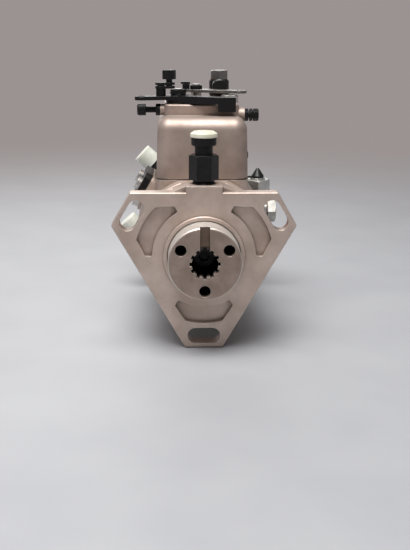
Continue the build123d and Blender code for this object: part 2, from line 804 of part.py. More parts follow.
arm_y = sleeve_rear + air + arm_thickness / 2
arm_front = arm_y - arm_thickness / 2
with BuildPart() as governor_bracket:
    # Fulcrum bracket: a plate across the deck opening with two ears for the arm's pin.
    with BuildSketch(above(deck_height)) as plate:
        with Locations((0, bracket_front + bracket_depth / 2)):
            Rectangle(2 * opening_half_width + 14, bracket_depth)
    extrude(plate.sketch, amount=bracket_thickness)
    for side in (-1, 1):
        with BuildSketch(sideways(side * (arm_half_width + 2.4))) as ear:
            with BuildLine():
                Polyline(
                    (arm_y - 4, arm_pivot_z - 4),
                    (arm_y + 4, arm_pivot_z - 4),
                    (bracket_front + bracket_depth, deck_height),
                    (bracket_front + bracket_depth, deck_height + bracket_thickness),
                    (arm_y - 4, deck_height + bracket_thickness),
                    close=True,
                )
            make_face()
            with Locations((arm_y, arm_pivot_z)):
                Circle(2 + seated, mode=Mode.SUBTRACT)
        extrude(ear.sketch, amount=0.9, both=True)
    for side in (-1, 1):
        bracket_hole = upright(side * 17, bracket_front + bracket_depth / 2)
        rod(bracket_hole, 2 + seated, deck_height - 1, deck_height + 3, Mode.SUBTRACT)

    # Loose fulcrum pin through both ears.
    rod(sidelong(arm_y, arm_pivot_z), 2, -arm_half_width - 3.6, arm_half_width + 3.6)

with BuildPart() as governor_arm:
    # Pressed arm: fork astride the shaft below the pin, spring and link holes above it.
    with BuildSketch(across(arm_front)) as arm:
        with BuildLine():
            Polyline(
                (-fork_half_gap - fork_leg, -3),
                (-fork_half_gap, -3),
                (-fork_half_gap, 18),
                (fork_half_gap, 18),
                (fork_half_gap, -3),
                (fork_half_gap + fork_leg, -3),
                (fork_half_gap + fork_leg, 22),
                (arm_half_width - 1, 29),
                (arm_half_width - 1, link_z + 4),
                (3.5, arm_top),
                (-3.5, arm_top),
                (-arm_half_width + 1, link_z),
                (-arm_half_width + 1, 29),
                (-fork_half_gap - fork_leg, 22),
                close=True,
            )
        make_face()
        with Locations((0, arm_top - 3.5)):
            Circle(1.4, mode=Mode.SUBTRACT)
        with Locations((link_x, link_z)):
            Circle(1.5, mode=Mode.SUBTRACT)
    extrude(arm.sketch, amount=-arm_thickness)
    rod(sidelong(arm_y, arm_pivot_z), 3.6, -arm_half_width + 1, arm_half_width - 1)
    rod(sidelong(arm_y, arm_pivot_z), 2 + running, -arm_half_width, arm_half_width, Mode.SUBTRACT)

with BuildPart() as linkage_hook:
    # Link rod from the arm to the metering-valve lever, with an eye at the rear.
    hook_start = arm_y + arm_thickness / 2 + air
    rod(lengthwise(link_x, link_z), 2.2, hook_start, hook_start + 1)
    rod(lengthwise(link_x, link_z), 1.0, arm_front - 1.2, valve_y - 3)
    with BuildSketch(above(link_z - 1)) as eye:
        with Locations((pin_x, valve_y)):
            Circle(2.6)
        with Locations((link_x - 0.4, valve_y - 3.4)):
            Rectangle(2.4, 3.4)
        with Locations((pin_x, valve_y)):
            Circle(1.5, mode=Mode.SUBTRACT)
    extrude(eye.sketch, amount=2)

with BuildPart() as shutoff_bar:
    # Flat bar that the shut-off pin draws forward to close the metering valve.
    with BuildSketch(above(bar_bottom_z)) as bar:
        with Locations((shutoff_x - 2, shutoff_y + 2)):
            Rectangle(15, 12)
        with Locations((shutoff_x - 5.5, shutoff_y + 10)):
            Rectangle(8, 8)
        with Locations((shutoff_x + 4.2, shutoff_y)):
            SlotOverall(7.5, 3.4, mode=Mode.SUBTRACT)
    extrude(bar.sketch, amount=1.6)

with BuildPart() as governor_spring:
    # Main governor spring: four coils with a straight hook at each end.
    hook_z = arm_top - 3.5
    coil_radius = 3.2
    coil_length = 9.0
    coil_start = arm_front - coil_length - 3.6
    coil_end = coil_start + coil_length
    with BuildLine() as coil:
        Helix(coil_length / 4, coil_length, coil_radius, center=(0, coil_start, hook_z), direction=(0, 1, 0))
    coil_wire = coil.wires()[0]
    with BuildSketch(Plane(origin=coil_wire @ 0, z_dir=coil_wire % 0)) as wire:
        Circle(0.5)
    sweep(wire.sketch, path=coil_wire, is_frenet=True)
    for end, start, stop in ((coil_wire @ 0, coil_start - 1, coil_start), (coil_wire @ 1, coil_end, arm_y + 2)):
        spring_axis = Vector(0, end.Y, hook_z)
        toward = (end - spring_axis).normalized()
        bar_plane = Plane(origin=spring_axis, z_dir=toward)
        with BuildSketch(bar_plane) as bar_section:
            Circle(0.5)
        extrude(bar_section.sketch, amount=coil_radius)
        rod(lengthwise(0, hook_z), 0.5, start, stop)

# ================================================================ end plate and transfer pump

plate_rear = head_rear + end_plate_thickness
regulator_rear = plate_rear + regulator_length
with BuildPart() as end_plate:
    # Cast end plate with the regulating-valve barrel behind and the inlet boss at its rim.
    rod(DRIVE, end_plate_radius, head_rear, plate_rear - 4)
    rod(DRIVE, end_screw_circle - 6, plate_rear - 4, plate_rear)
    rod(DRIVE, regulator_radius, plate_rear, regulator_rear)
    for k in range(end_screw_count):
        turn = radians(360 / end_screw_count * k)
        ear_axis = lengthwise(end_screw_circle * cos(turn), end_screw_circle * sin(turn))
        rod(ear_axis, 7.4, head_rear, plate_rear - 3)
    inlet_y = head_rear + inlet_radius - 1
    rod(spoke(inlet_angle, inlet_y), inlet_radius - 1.5, 20, inlet_seat)
    rod(spoke(inlet_angle, inlet_y), 6 + seated, inlet_seat - 10, inlet_seat + 1, Mode.SUBTRACT)
    rod(spoke(inlet_angle, inlet_y), 3, 4, inlet_seat - 9, Mode.SUBTRACT)
    rod(DRIVE, regulator_bore + seated, head_rear + 4, regulator_rear + 1, Mode.SUBTRACT)
    rod(DRIVE, 16, head_rear - 1, head_rear + 1, Mode.SUBTRACT)
    with BuildSketch(across(head_rear)) as screw_holes:
        with PolarLocations(end_screw_circle, end_screw_count):
            Circle(2.5 + seated)
    extrude(screw_holes.sketch, amount=-end_plate_thickness, mode=Mode.SUBTRACT)

with BuildPart() as hexagon_screws:
    # Four screws in the end plate and two that lock the hydraulic head.
    for k in range(end_screw_count):
        turn = radians(360 / end_screw_count * k)
        axis_point = (end_screw_circle * cos(turn), end_screw_circle * sin(turn))
        rod(lengthwise(*axis_point), 2.5, head_rear - 13, plate_rear - 3)
        seat_plane = Plane(origin=(axis_point[0], plate_rear - 3, axis_point[1]), z_dir=(0, 1, 0))
        hexagon(seat_plane, 8, 4)
    for turn in (20, 160):
        locking = spoke(turn, head_front + 5)
        rod(locking, 4, head_radius + 0.1, barrel_radius + 1.5)
        hexagon(tangent_plane(turn, barrel_radius + 1.5, head_front + 5), 10, 4.5)

with BuildPart() as regulating_sleeve:
    # Ported sleeve of the pressure-regulating valve.
    tube(DRIVE, piston_radius + running, regulator_bore, head_rear + 6, regulator_rear - 3)
    for turn in (0, 90, 180, 270):
        rod(spoke(turn, plate_rear - 3), 1.2, 0, regulator_bore + 1, Mode.SUBTRACT)

piston_front = plate_rear - 7
with BuildPart() as regulating_piston:
    # Free piston that uncovers the ports as the transfer pressure rises.
    rod(DRIVE, piston_radius, piston_front, piston_front + 7)
    rod(DRIVE, 2.4, piston_front + 3, piston_front + 8, Mode.SUBTRACT)

spring_front = piston_front + 7 + 0.1
spring_end = regulator_rear - 4.2
with BuildPart() as regulating_spring:
    # Light spring behind the piston.
    spring_rise = spring_end - spring_front - 1.0
    with BuildLine() as spring_path:
        Helix(spring_rise / 5, spring_rise, 3.2, center=(0, spring_front + 0.5, 0), direction=(0, 1, 0))
    spring_wire = spring_path.wires()[0]
    with BuildSketch(Plane(origin=spring_wire @ 0, z_dir=spring_wire % 0)) as wire:
        Circle(0.4)
    sweep(wire.sketch, path=spring_wire, is_frenet=True)

with BuildPart() as regulating_plug:
    # Hexagon plug that closes the regulating valve.
    rod(DRIVE, piston_radius - 0.1, regulator_rear - 4, regulator_rear - 2.9)
    rod(DRIVE, regulator_bore, regulator_rear - 2.9, regulator_rear)
    hexagon(Plane(origin=(0, regulator_rear, 0), z_dir=(0, 1, 0)), 19, 7)

inlet_axis = spoke(inlet_angle, inlet_y)
inlet_plane = tangent_plane(inlet_angle, inlet_seat, inlet_y)
with BuildPart() as inlet_union:
    # Fuel inlet union: hexagon, threaded nose and a through bore.
    rod(inlet_axis, 6, inlet_seat - 8, inlet_seat)
    hexagon(inlet_plane, inlet_flats, 7)
    rod(inlet_axis, 6, inlet_seat + 7, inlet_cap_end - 4)
    rod(inlet_axis, 3.2, inlet_seat - 9, inlet_cap_end - 3, Mode.SUBTRACT)

# ================================================================ high-pressure outlets

union_turns = (90, -90, -90)  # direction of each banjo's union, about its bolt
seat_top = outlet_seat + washer_thickness
banjo_top = seat_top + banjo_height
bolt_seat = banjo_top + washer_thickness
outlet_planes = []
union_planes = []
for k, outlet_angle in enumerate(outlet_angles):
    outlet_planes.append(spoke(outlet_angle, outlet_y))
    middle = tangent_plane(outlet_angle, seat_top + banjo_height / 2, outlet_y)
    along = middle.y_dir * (1 if union_turns[k] > 0 else -1)
    union_planes.append(Plane(origin=middle.origin, x_dir=(0, 1, 0), z_dir=Vector(0, 1, 0).cross(along)))

back_leak = upright(return_x, return_y)
return_seat = deck_top + 1.4
nose = lengthwise(return_x, return_seat + nose_rise)
with BuildPart() as banjo_bolts:
    # Hollow banjo bolts: three screwed radially into the head, one in the governor cover.
    rod(back_leak, 4.5, deck_top - platform_roof, return_seat + 12)
    hexagon(Plane(origin=(return_x, return_y, return_seat + 12), z_dir=(0, 0, 1)), return_flats, 5.8, turn=30)
    for k, outlet_angle in enumerate(outlet_angles):
        rod(outlet_planes[k], banjo_bolt_radius, outlet_seat - 14.5, bolt_seat)
        hexagon(tangent_plane(outlet_angle, bolt_seat, outlet_y), banjo_bolt_flats, banjo_bolt_head)

with BuildPart() as sealing_washers:
    # Copper washers on both sides of each banjo.
    tube(back_leak, 4.5 + seated, return_banjo_radius - 0.3, return_seat, return_seat + 1)
    tube(back_leak, 4.5 + seated, return_banjo_radius - 0.8, return_seat + 11, return_seat + 12)
    for outlet in outlet_planes:
        tube(outlet, banjo_bolt_radius + seated, banjo_radius, outlet_seat, seat_top)
        tube(outlet, banjo_bolt_radius + seated, banjo_radius, banjo_top, bolt_seat)

with BuildPart() as banjos:
    # Banjo rings, each with a hexagon and a union for its injector pipe.
    for k in range(len(outlet_angles)):
        tube_end = union_end if k else open_union_end
        rod(outlet_planes[k], banjo_radius, seat_top, banjo_top)
        rod(union_planes[k], union_tube, 0, tube_end)
        hexagon_plane = Plane(
            origin=union_planes[k].origin + union_planes[k].y_dir * union_start,
            x_dir=(0, 1, 0),
            z_dir=union_planes[k].y_dir,
        )
        hexagon(hexagon_plane, union_flats, union_hexagon)
        rod(union_planes[k], 2, 0, union_end + 1, Mode.SUBTRACT)
    for outlet in outlet_planes:
        rod(outlet, banjo_bolt_radius + seated, seat_top - 1, banjo_top + 1, Mode.SUBTRACT)

with BuildPart() as return_banjo:
    # Black back-leak banjo on the governor cover, with a short nose to the front.
    rod(back_leak, return_banjo_radius, return_seat + 1, return_seat + 11)
    rod(nose, nose_radius, return_y - nose_length, return_y)
    rod(nose, 1.6, return_y - nose_length - 1, return_y, Mode.SUBTRACT)
    rod(back_leak, 4.5 + seated, return_seat, return_seat + 12, Mode.SUBTRACT)

union_face = union_start + union_hexagon + seated
outlet_cap_profile = [
    (union_tube + seated, union_face),
    (outlet_cap_radius, union_face),
    (outlet_cap_radius, outlet_cap_end - 0.6),
    (outlet_cap_radius - 0.6, outlet_cap_end),
    (0, outlet_cap_end),
    (0, union_end + seated),
    (union_tube + seated, union_end + seated),
]
inlet_cap_start = inlet_seat + 8
with BuildPart() as white_caps:
    # Translucent transit caps pushed over the inlet and over two outlets.
    turned(
        inlet_axis,
        [
            (6 + seated, inlet_cap_start),
            (inlet_cap_radius, inlet_cap_start),
            (inlet_cap_radius, inlet_cap_end - 0.6),
            (inlet_cap_radius - 0.6, inlet_cap_end),
            (0, inlet_cap_end),
            (0, inlet_cap_end - 2),
            (6 + seated, inlet_cap_end - 2),
        ],
    )
    for union in union_planes[1:]:
        turned(union, outlet_cap_profile)

with BuildPart() as black_caps:
    # Black transit plug in the first outlet, with its pull tab, and cap on the back-leak nose.
    turned(
        union_planes[0],
        [
            (0, open_union_end - 5),
            (2 - seated, open_union_end - 5),
            (2 - seated, open_union_end + seated),
            (plug_radius, open_union_end + seated),
            (plug_radius, open_union_end + 1.4),
            (plug_tip, plug_end - 0.6),
            (plug_tip - 0.5, plug_end),
            (0, plug_end),
        ],
    )
    with BuildSketch(above(open_union_end + seated)) as tab:
        with Locations((union_planes[0].origin.X - plug_radius - 2, outlet_y)):
            RectangleRounded(7, 4, 1.4)
    extrude(tab.sketch, amount=1.3)
    turned(
        nose,
        [
            (0, return_y - nose_length - 1.4),
            (return_cap_radius - 0.9, return_y - nose_length - 1.4),
            (return_cap_radius, return_y - nose_length - 0.5),
            (return_cap_radius, return_y - return_banjo_radius - 1),
            (nose_radius + seated, return_y - return_banjo_radius - 1),
            (nose_radius + seated, return_y - nose_length - seated),
            (0, return_y - nose_length - seated),
        ],
    )

# ================================================================ housing fittings

with BuildPart() as inspection_cover:
    # Black inspection cover over the cam and drive plate.
    cover_plane = tangent_plane(inspection_angle, inspection_seat, inspection_front)
    with BuildSketch(cover_plane) as lid:
        with Locations((inspection_length / 2, -inspection_rise)):
            RectangleRounded(inspection_length, 2 * inspection_half_width, 5)
        with Locations((4.5, -inspection_rise), (inspection_length - 4.5, -inspection_rise)):
            Circle(2.6, mode=Mode.SUBTRACT)
    extrude(lid.sketch, amount=inspection_thickness)

with BuildPart() as cheese_head_screws:
    # Two screws in the inspection cover, two in the fulcrum bracket, and the one
    # that stops the cam ring from turning, its head let into the pad.
    for side in (-1, 1):
        screw_axis = upright(side * 17, bracket_front + bracket_depth / 2)
        rod(screw_axis, 2, deck_height - 7, deck_height + bracket_thickness)
        rod(screw_axis, 3.6, deck_height + bracket_thickness, deck_height + bracket_thickness + 2.6)
    for along in (4.5, inspection_length - 4.5):
        screw = lid_screw(along)
        top = inspection_seat + inspection_thickness
        rod(screw, 2.5, inspection_base - 7, top)
        rod(screw, 4.2, top, top + 2.8)
    rod(upright(0, plunger_y), 4.0, -barrel_radius + 0.2, -chamber_radius - 0.2)
    rod(upright(0, plunger_y), 3.1, -chamber_radius - 0.2, -cam_outer + 4)

# ================================================================ governor cover

roof = deck_top - platform_roof
cover_length = deck_rear - deck_front
cover_middle = (deck_front + deck_rear) / 2
cover_base = deck_height + gasket_thickness
platform_length = platform_rear - platform_front
platform_middle = (platform_rear + platform_front) / 2
with BuildPart() as gaskets:
    # Gaskets under the governor cover and under the inspection cover.
    with BuildSketch(above(deck_height)) as sheet:
        with Locations((0, cover_middle)):
            RectangleRounded(2 * deck_half_width, cover_length, deck_corner)
            RectangleRounded(2 * (deck_half_width - 5), cover_length - 10, 4, mode=Mode.SUBTRACT)
    extrude(sheet.sketch, amount=gasket_thickness)
    with BuildSketch(tangent_plane(inspection_angle, inspection_base, inspection_front)) as lid_sheet:
        with Locations((inspection_length / 2, -inspection_rise)):
            RectangleRounded(inspection_length, 2 * inspection_half_width, 5)
            RectangleRounded(inspection_length - 18, 2 * inspection_half_width - 10, 3, mode=Mode.SUBTRACT)
        with Locations((4.5, -inspection_rise), (inspection_length - 4.5, -inspection_rise)):
            Circle(2.6, mode=Mode.SUBTRACT)
    extrude(lid_sheet.sketch, amount=gasket_thickness)

with BuildPart() as governor_cover:
    # Cast cover: drafted box with a big soft shoulder and a flat platform for the levers.
    with BuildSketch(above(cover_base)) as outline:
        with Locations((0, cover_middle)):
            RectangleRounded(2 * deck_half_width, cover_length, cover_corner)
    extrude(outline.sketch, amount=cover_top - cover_base, taper=cover_taper)
    fillet(governor_cover.faces().sort_by(Axis.Z)[-1].edges(), cover_shoulder)
    with BuildSketch(above(cover_top - 4)) as platform:
        with Locations((0, platform_middle)):
            RectangleRounded(2 * platform_half_width, platform_length, 5)
    extrude(platform.sketch, amount=deck_top - cover_top + 4)
    fillet(governor_cover.faces().sort_by(Axis.Z)[-1].edges(), 1.2)
    # Bosses for the two stop screws and the vent screw, and the seat for the return banjo.
    rod(sidelong(stop_screw_y, max_screw_z), 3.6, -max_boss_end, -boss_root)
    rod(sidelong(stop_screw_y, idle_screw_z), 4.6, boss_root, idle_boss_end)
    rod(upright(return_x, return_y), return_banjo_radius + 0.6, deck_top - 3, return_seat)
    # Hollow inside.
    with BuildSketch(above(cover_base)) as hollow:
        with Locations((0, cover_middle)):
            RectangleRounded(2 * (deck_half_width - 5), cover_length - 10, 5)
    extrude(hollow.sketch, amount=cover_top - cover_wall - cover_base, taper=3.0, mode=Mode.SUBTRACT)
    with BuildSketch(above(cover_top - cover_wall - 1)) as upper_hollow:
        with Locations((0, platform_middle)):
            RectangleRounded(2 * platform_half_width - 7, platform_length - 7, 4)
    extrude(upper_hollow.sketch, amount=roof - cover_top + cover_wall + 1, mode=Mode.SUBTRACT)
    # Shaft bores, stop-screw bores, return bore, stud holes and vent hole.
    rod(upright(throttle_x, throttle_y), throttle_shaft + running, roof - 8.8, deck_top + 1, Mode.SUBTRACT)
    rod(upright(shutoff_x, shutoff_y), shutoff_shaft + running, roof - 8.8, deck_top + 1, Mode.SUBTRACT)
    rod(sidelong(stop_screw_y, max_screw_z), stop_screw_radius + seated, -max_boss_end - 3, 9 - boss_root, Mode.SUBTRACT)
    rod(sidelong(stop_screw_y, idle_screw_z), stop_screw_radius + seated, boss_root - 9, idle_boss_end + 1.8, Mode.SUBTRACT)
    rod(upright(return_x, return_y), 4.5 + seated, roof - 1, return_seat + 1, Mode.SUBTRACT)
    for x, y in cover_stud_places:
        rod(upright(x, y), stud_radius + 0.3, roof - 13.8, deck_top + 1, Mode.SUBTRACT)
    rod(sidelong(vent_y, vent_z), 2.5 + seated, boss_root, deck_half_width + 1.5, Mode.SUBTRACT)

with BuildPart() as cover_studs:
    # Two long studs from the deck up through the cover, each with a washer and a nut.
    for x, y in cover_stud_places:
        rod(upright(x, y), stud_radius, deck_height - 7.5, deck_top + 4.6)
        tube(upright(x, y), stud_radius + seated, 6.2, deck_top, deck_top + 0.8)
        hexagon(Plane(origin=(x, y, deck_top + 0.8), z_dir=(0, 0, 1)), 10, 4.2, bore=stud_radius + seated)

with BuildPart() as vent_screw:
    # Small vent screw in the right side of the cover.
    rod(sidelong(vent_y, vent_z), 2.5, deck_half_width - 5, deck_half_width - 0.3)
    rod(sidelong(vent_y, vent_z), 2.2, deck_half_width - 0.3, deck_half_width + 2)

# ================================================================ stop screws

max_axis = sidelong(stop_screw_y, max_screw_z)
idle_axis = sidelong(stop_screw_y, idle_screw_z)
with BuildPart() as stop_screws:
    # Maximum-speed screw with a round sealed head on the left, idling screw on the right.
    head_seat = -max_boss_end - max_shank
    head_end = head_seat - max_head
    rod(max_axis, stop_screw_radius, head_seat, throttle_x - 6.1)
    turned(max_axis, [(0, head_end), (3.2, head_end), (3.8, head_end + 0.8), (3.8, head_seat), (0, head_seat)])
    rod(idle_axis, stop_screw_radius, throttle_x + 2.2, idle_boss_end + 5.6)
    hexagon(Plane(origin=(idle_boss_end + 5.6, stop_screw_y, idle_screw_z), z_dir=(1, 0, 0)), 7, 3.6)

with BuildPart() as stop_screw_nuts:
    # Lock nuts of the stop screws.
    nut_bore = stop_screw_radius + seated
    hexagon(Plane(origin=(-max_boss_end, stop_screw_y, max_screw_z), z_dir=(-1, 0, 0)), 6.6, 3.0, bore=nut_bore)
    hexagon(Plane(origin=(idle_boss_end, stop_screw_y, idle_screw_z), z_dir=(1, 0, 0)), 7, 2.6, bore=nut_bore)
    hexagon(Plane(origin=(idle_boss_end + 3.2, stop_screw_y, idle_screw_z), z_dir=(1, 0, 0)), 7, 2.0, bore=nut_bore)

# ================================================================ throttle

throttle = upright(throttle_x, throttle_y)
lever_bottom = deck_top + lever_gap
arm_bottom = lever_bottom + throttle_hub_height - throttle_arm - 0.2
lever_top = lever_bottom + throttle_hub_height
with BuildPart() as throttle_shaft_piece:
    # Upright throttle shaft with a stop lug and the crank for the governor spring.
    rod(throttle, throttle_shaft, crank_bottom, lever_bottom)
    rod(throttle, throttle_stud, lever_bottom, lever_top + 4.2)
    with BuildSketch(above(roof - 6.8)) as lug:
        with Locations((throttle_x, throttle_y - 3.1)):
            Rectangle(3.6, 6.2)
    extrude(lug.sketch, amount=6.8 - air)
    with BuildSketch(above(crank_bottom)) as crank:
        with Locations((throttle_x, throttle_y)):
            Circle(6)
        with Locations((throttle_x + 6, throttle_y - 4.6)):
            Rectangle(14, 6, rotation=-37)
    extrude(crank.sketch, amount=3)
    rod(upright(throttle_x + 10.4, throttle_y - 7.9), 1.4, crank_bottom - 7, crank_bottom)

tip_x = throttle_x + throttle_reach * cos(radians(throttle_arm_angle))
tip_y = throttle_y + throttle_reach * sin(radians(throttle_arm_angle))
with BuildPart() as throttle_lever:
    # Black steel lever: hub on the shaft, thin arm to the left, stop block to the right.
    with BuildSketch(above(arm_bottom)) as left_arm:
        with BuildLine():
            Polyline(
                (throttle_x, throttle_y + throttle_hub),
                (tip_x + 1, tip_y + throttle_tip),
                (tip_x, tip_y - throttle_tip),
                (throttle_x, throttle_y - throttle_hub),
                close=True,
            )
        make_face()
        with Locations((tip_x, tip_y)):
            Circle(throttle_tip)
    extrude(left_arm.sketch, amount=throttle_arm)
    rod(throttle, throttle_hub, lever_bottom, lever_top)
    with BuildSketch(above(lever_bottom)) as right_arm:
        with BuildLine():
            Polyline(
                (throttle_x, throttle_y - throttle_hub),
                (stop_block_x - stop_block_width / 2, stop_block_y - stop_block_depth / 2),
                (stop_block_x - stop_block_width / 2, stop_block_y + stop_block_depth / 2),
                (throttle_x, throttle_y + 2),
                close=True,
            )
        make_face()
    extrude(right_arm.sketch, amount=throttle_hub_height)
    with BuildSketch(above(stop_block_bottom)) as block:
        with Locations((stop_block_x, stop_block_y)):
            Rectangle(stop_block_width, stop_block_depth)
    extrude(block.sketch, amount=lever_top - stop_block_bottom)
    rod(throttle, throttle_stud + seated, lever_bottom - 1, lever_top + 1, Mode.SUBTRACT)
    rod(upright(tip_x, tip_y), throttle_eye, arm_bottom - 1, lever_top, Mode.SUBTRACT)

swivel_x = throttle_x + swivel_reach * cos(radians(throttle_arm_angle))
swivel_y = throttle_y + swivel_reach * sin(radians(throttle_arm_angle))
knob_x = throttle_x + knob_reach * cos(radians(throttle_arm_angle))
knob_y = throttle_y + knob_reach * sin(radians(throttle_arm_angle))
arm_top_z = arm_bottom + throttle_arm
bar_bottom = arm_top_z + 4.7
bar_end = 3.7
knob_bottom = bar_bottom + 5.9
with BuildPart() as throttle_fittings:
    # Cable swivel on the lever: a post, two slotted bars over it, and a pinch bolt at their end.
    swivel = upright(swivel_x, swivel_y)
    knob = upright(knob_x, knob_y)
    rod(swivel, 3.2, arm_top_z, bar_bottom)
    rod(swivel, 2.4, bar_bottom, knob_bottom - 2)
    rod(knob, 2.0, bar_bottom + 0.4, knob_bottom)
    for bar_z in (bar_bottom, bar_bottom + 2.3):
        with BuildSketch(above(bar_z)) as bar:
            with Locations(((swivel_x + knob_x) / 2, (swivel_y + knob_y) / 2)):
                SlotOverall(swivel_reach - knob_reach + 2 * bar_end, 2 * bar_end, rotation=throttle_arm_angle - 180)
        extrude(bar.sketch, amount=1.6)
    hexagon(Plane(origin=(knob_x, knob_y, knob_bottom), z_dir=(0, 0, 1)), 7.8, 5.9, turn=12)
    # Washer and nut that hold the lever on its shaft.
    tube(throttle, throttle_stud + seated, 4.9, lever_top, lever_top + 0.8)
    hexagon(Plane(origin=(throttle_x, throttle_y, lever_top + 0.8), z_dir=(0, 0, 1)), 9, 3.0, bore=throttle_stud + seated)

# ================================================================ shut-off

shutoff = upright(shutoff_x, shutoff_y)
shutoff_bottom = lever_top + 0.7
shutoff_top = shutoff_bottom + shutoff_arm
with BuildPart() as shutoff_shaft_piece:
    # Upright shut-off shaft with a crank pin that works in the bar's slot.
    rod(shutoff, shutoff_shaft, bar_bottom_z + 4, shutoff_bottom)
    rod(shutoff, shutoff_shaft - 1, shutoff_bottom, shutoff_top + 3.4)
    rod(shutoff, 6.2, bar_bottom_z + 3, bar_bottom_z + 5.5)
    rod(upright(shutoff_x + 4.2, shutoff_y), 1.5, bar_bottom_z - 0.6, bar_bottom_z + 3)

end_x = shutoff_x + shutoff_reach * cos(radians(shutoff_arm_angle))
end_y = shutoff_y + shutoff_reach * sin(radians(shutoff_arm_angle))
with BuildPart() as shutoff_lever:
    # Zinc-plated shut-off lever.
    with BuildSketch(above(shutoff_bottom)) as plate:
        with BuildLine():
            Polyline(
                (shutoff_x, shutoff_y + 6),
                (shutoff_x - 9, shutoff_y + 6.5),
                (shutoff_x - 9, shutoff_y - 1.5),
                (shutoff_x, shutoff_y - 6),
                (end_x - 1, end_y - shutoff_tip),
                (end_x + 1, end_y + shutoff_tip),
                close=True,
            )
        make_face()
        with Locations((shutoff_x, shutoff_y)):
            Circle(6.4)
        with Locations((end_x, end_y)):
            Circle(shutoff_tip)
        with Locations((shutoff_x, shutoff_y)):
            Circle(shutoff_shaft - 1 + seated, mode=Mode.SUBTRACT)
        with Locations((end_x, end_y)):
            Circle(2.2, mode=Mode.SUBTRACT)
    extrude(plate.sketch, amount=shutoff_arm)

with BuildPart() as shutoff_fittings:
    # Nut on the shut-off shaft and a small saddle clamp at the lever's short end.
    nut_plane = Plane(origin=(shutoff_x, shutoff_y, shutoff_top), z_dir=(0, 0, 1))
    hexagon(nut_plane, 7, 2.6, bore=shutoff_shaft - 1 + seated)
    clamp_x = shutoff_x - 6.0
    clamp_y = shutoff_y + 2.4
    with BuildSketch(above(shutoff_top)) as block:
        with Locations((clamp_x - 0.8, clamp_y)):
            Rectangle(4.8, 6.4)
    extrude(block.sketch, amount=3.4)
    with BuildSketch(above(shutoff_top + 3.4)) as strap:
        with Locations((clamp_x - 1.2, clamp_y)):
            Rectangle(6.2, 5.0)
    extrude(strap.sketch, amount=1.4)

# ================================================================ unions on top

adaptor = upright(0, adaptor_y)
hex_top = 61.0
neck_top = 66.5
head_top = 71.5
with BuildPart() as drain_adaptor:
    # Black drain adaptor on the flange boss.
    rod(adaptor, 5, 34, boss_top)
    hexagon(Plane(origin=(0, adaptor_y, boss_top), z_dir=(0, 0, 1)), adaptor_flats, hex_top - boss_top)
    rod(adaptor, 5.5, hex_top, neck_top)
    turned(
        adaptor,
        [(0, neck_top), (7.1, neck_top), (7.7, neck_top + 0.6), (7.7, head_top), (0, head_top)],
    )
    rod(adaptor, 2.5, 33, head_top + 1, Mode.SUBTRACT)
    with BuildSketch(above(boss_top)) as foot:
        with Locations((0, adaptor_y)):
            Circle(20)
            Circle(7.3, mode=Mode.SUBTRACT)
    extrude(foot.sketch, amount=2.4, taper=-30, mode=Mode.SUBTRACT)

with BuildPart() as drain_plug:
    # Cream plastic plug in the adaptor's mouth.
    turned(
        adaptor,
        [
            (0, head_top - 6),
            (2.45, head_top - 6),
            (2.45, head_top),
            (8.0, head_top),
            (8.4, head_top + 0.6),
            (8.2, head_top + 2.4),
            (6.4, head_top + 3.6),
            (0, head_top + 3.9),
        ],
    )

pieces = {
    "drive_hub": drive_hub,
    "drive_screws": drive_screws,
    "drive_shaft": drive_shaft,
    "weight_cage": weight_cage,
    "thrust_sleeve": thrust_sleeve,
    "drive_plate": drive_plate,
    "rotor": rotor,
    "transfer_rotor": transfer_rotor,
    "pump_housing": pump_housing,
    "oil_seal": oil_seal,
    "hub_bush": hub_bush,
    "cam_ring": cam_ring,
    "hydraulic_head": hydraulic_head,
    "o_rings": o_rings,
    "transfer_liner": transfer_liner,
    "metering_valve": metering_valve,
    "governor_bracket": governor_bracket,
    "governor_arm": governor_arm,
    "linkage_hook": linkage_hook,
    "shutoff_bar": shutoff_bar,
    "governor_spring": governor_spring,
    "end_plate": end_plate,
    "hexagon_screws": hexagon_screws,
    "cheese_head_screws": cheese_head_screws,
    "regulating_sleeve": regulating_sleeve,
    "regulating_piston": regulating_piston,
    "regulating_spring": regulating_spring,
    "regulating_plug": regulating_plug,
    "inlet_union": inlet_union,
    "banjo_bolts": banjo_bolts,
    "banjos": banjos,
    "return_banjo": return_banjo,
    "sealing_washers": sealing_washers,
    "white_caps": white_caps,
    "black_caps": black_caps,
    "inspection_cover": inspection_cover,
    "gaskets": gaskets,
    "governor_cover": governor_cover,
    "cover_studs": cover_studs,
    "vent_screw": vent_screw,
    "stop_screws": stop_screws,
    "stop_screw_nuts": stop_screw_nuts,
    "throttle_shaft": throttle_shaft_piece,
    "throttle_lever": throttle_lever,
    "throttle_fittings": throttle_fittings,
    "shutoff_shaft": shutoff_shaft_piece,
    "shutoff_lever": shutoff_lever,
    "shutoff_fittings": shutoff_fittings,
    "drain_adaptor": drain_adaptor,
    "drain_plug": drain_plug,
}
for k in range(weight_count):
    pieces[f"weight_{k + 1}"] = weights[k]
for k in range(2):
    pieces[f"plunger_{k + 1}"] = plungers[k]
    pieces[f"roller_{k + 1}"] = rollers[k]
    pieces[f"blade_{k + 1}"] = blades[k]

for name, piece in pieces.items():
    piece.part.label = name
    export_step(piece.part, f"parts/{name}.step")
print(len(pieces), "nodes")
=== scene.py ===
from math import pi, radians

import bpy
import numpy as np
from mathutils import Matrix, Vector


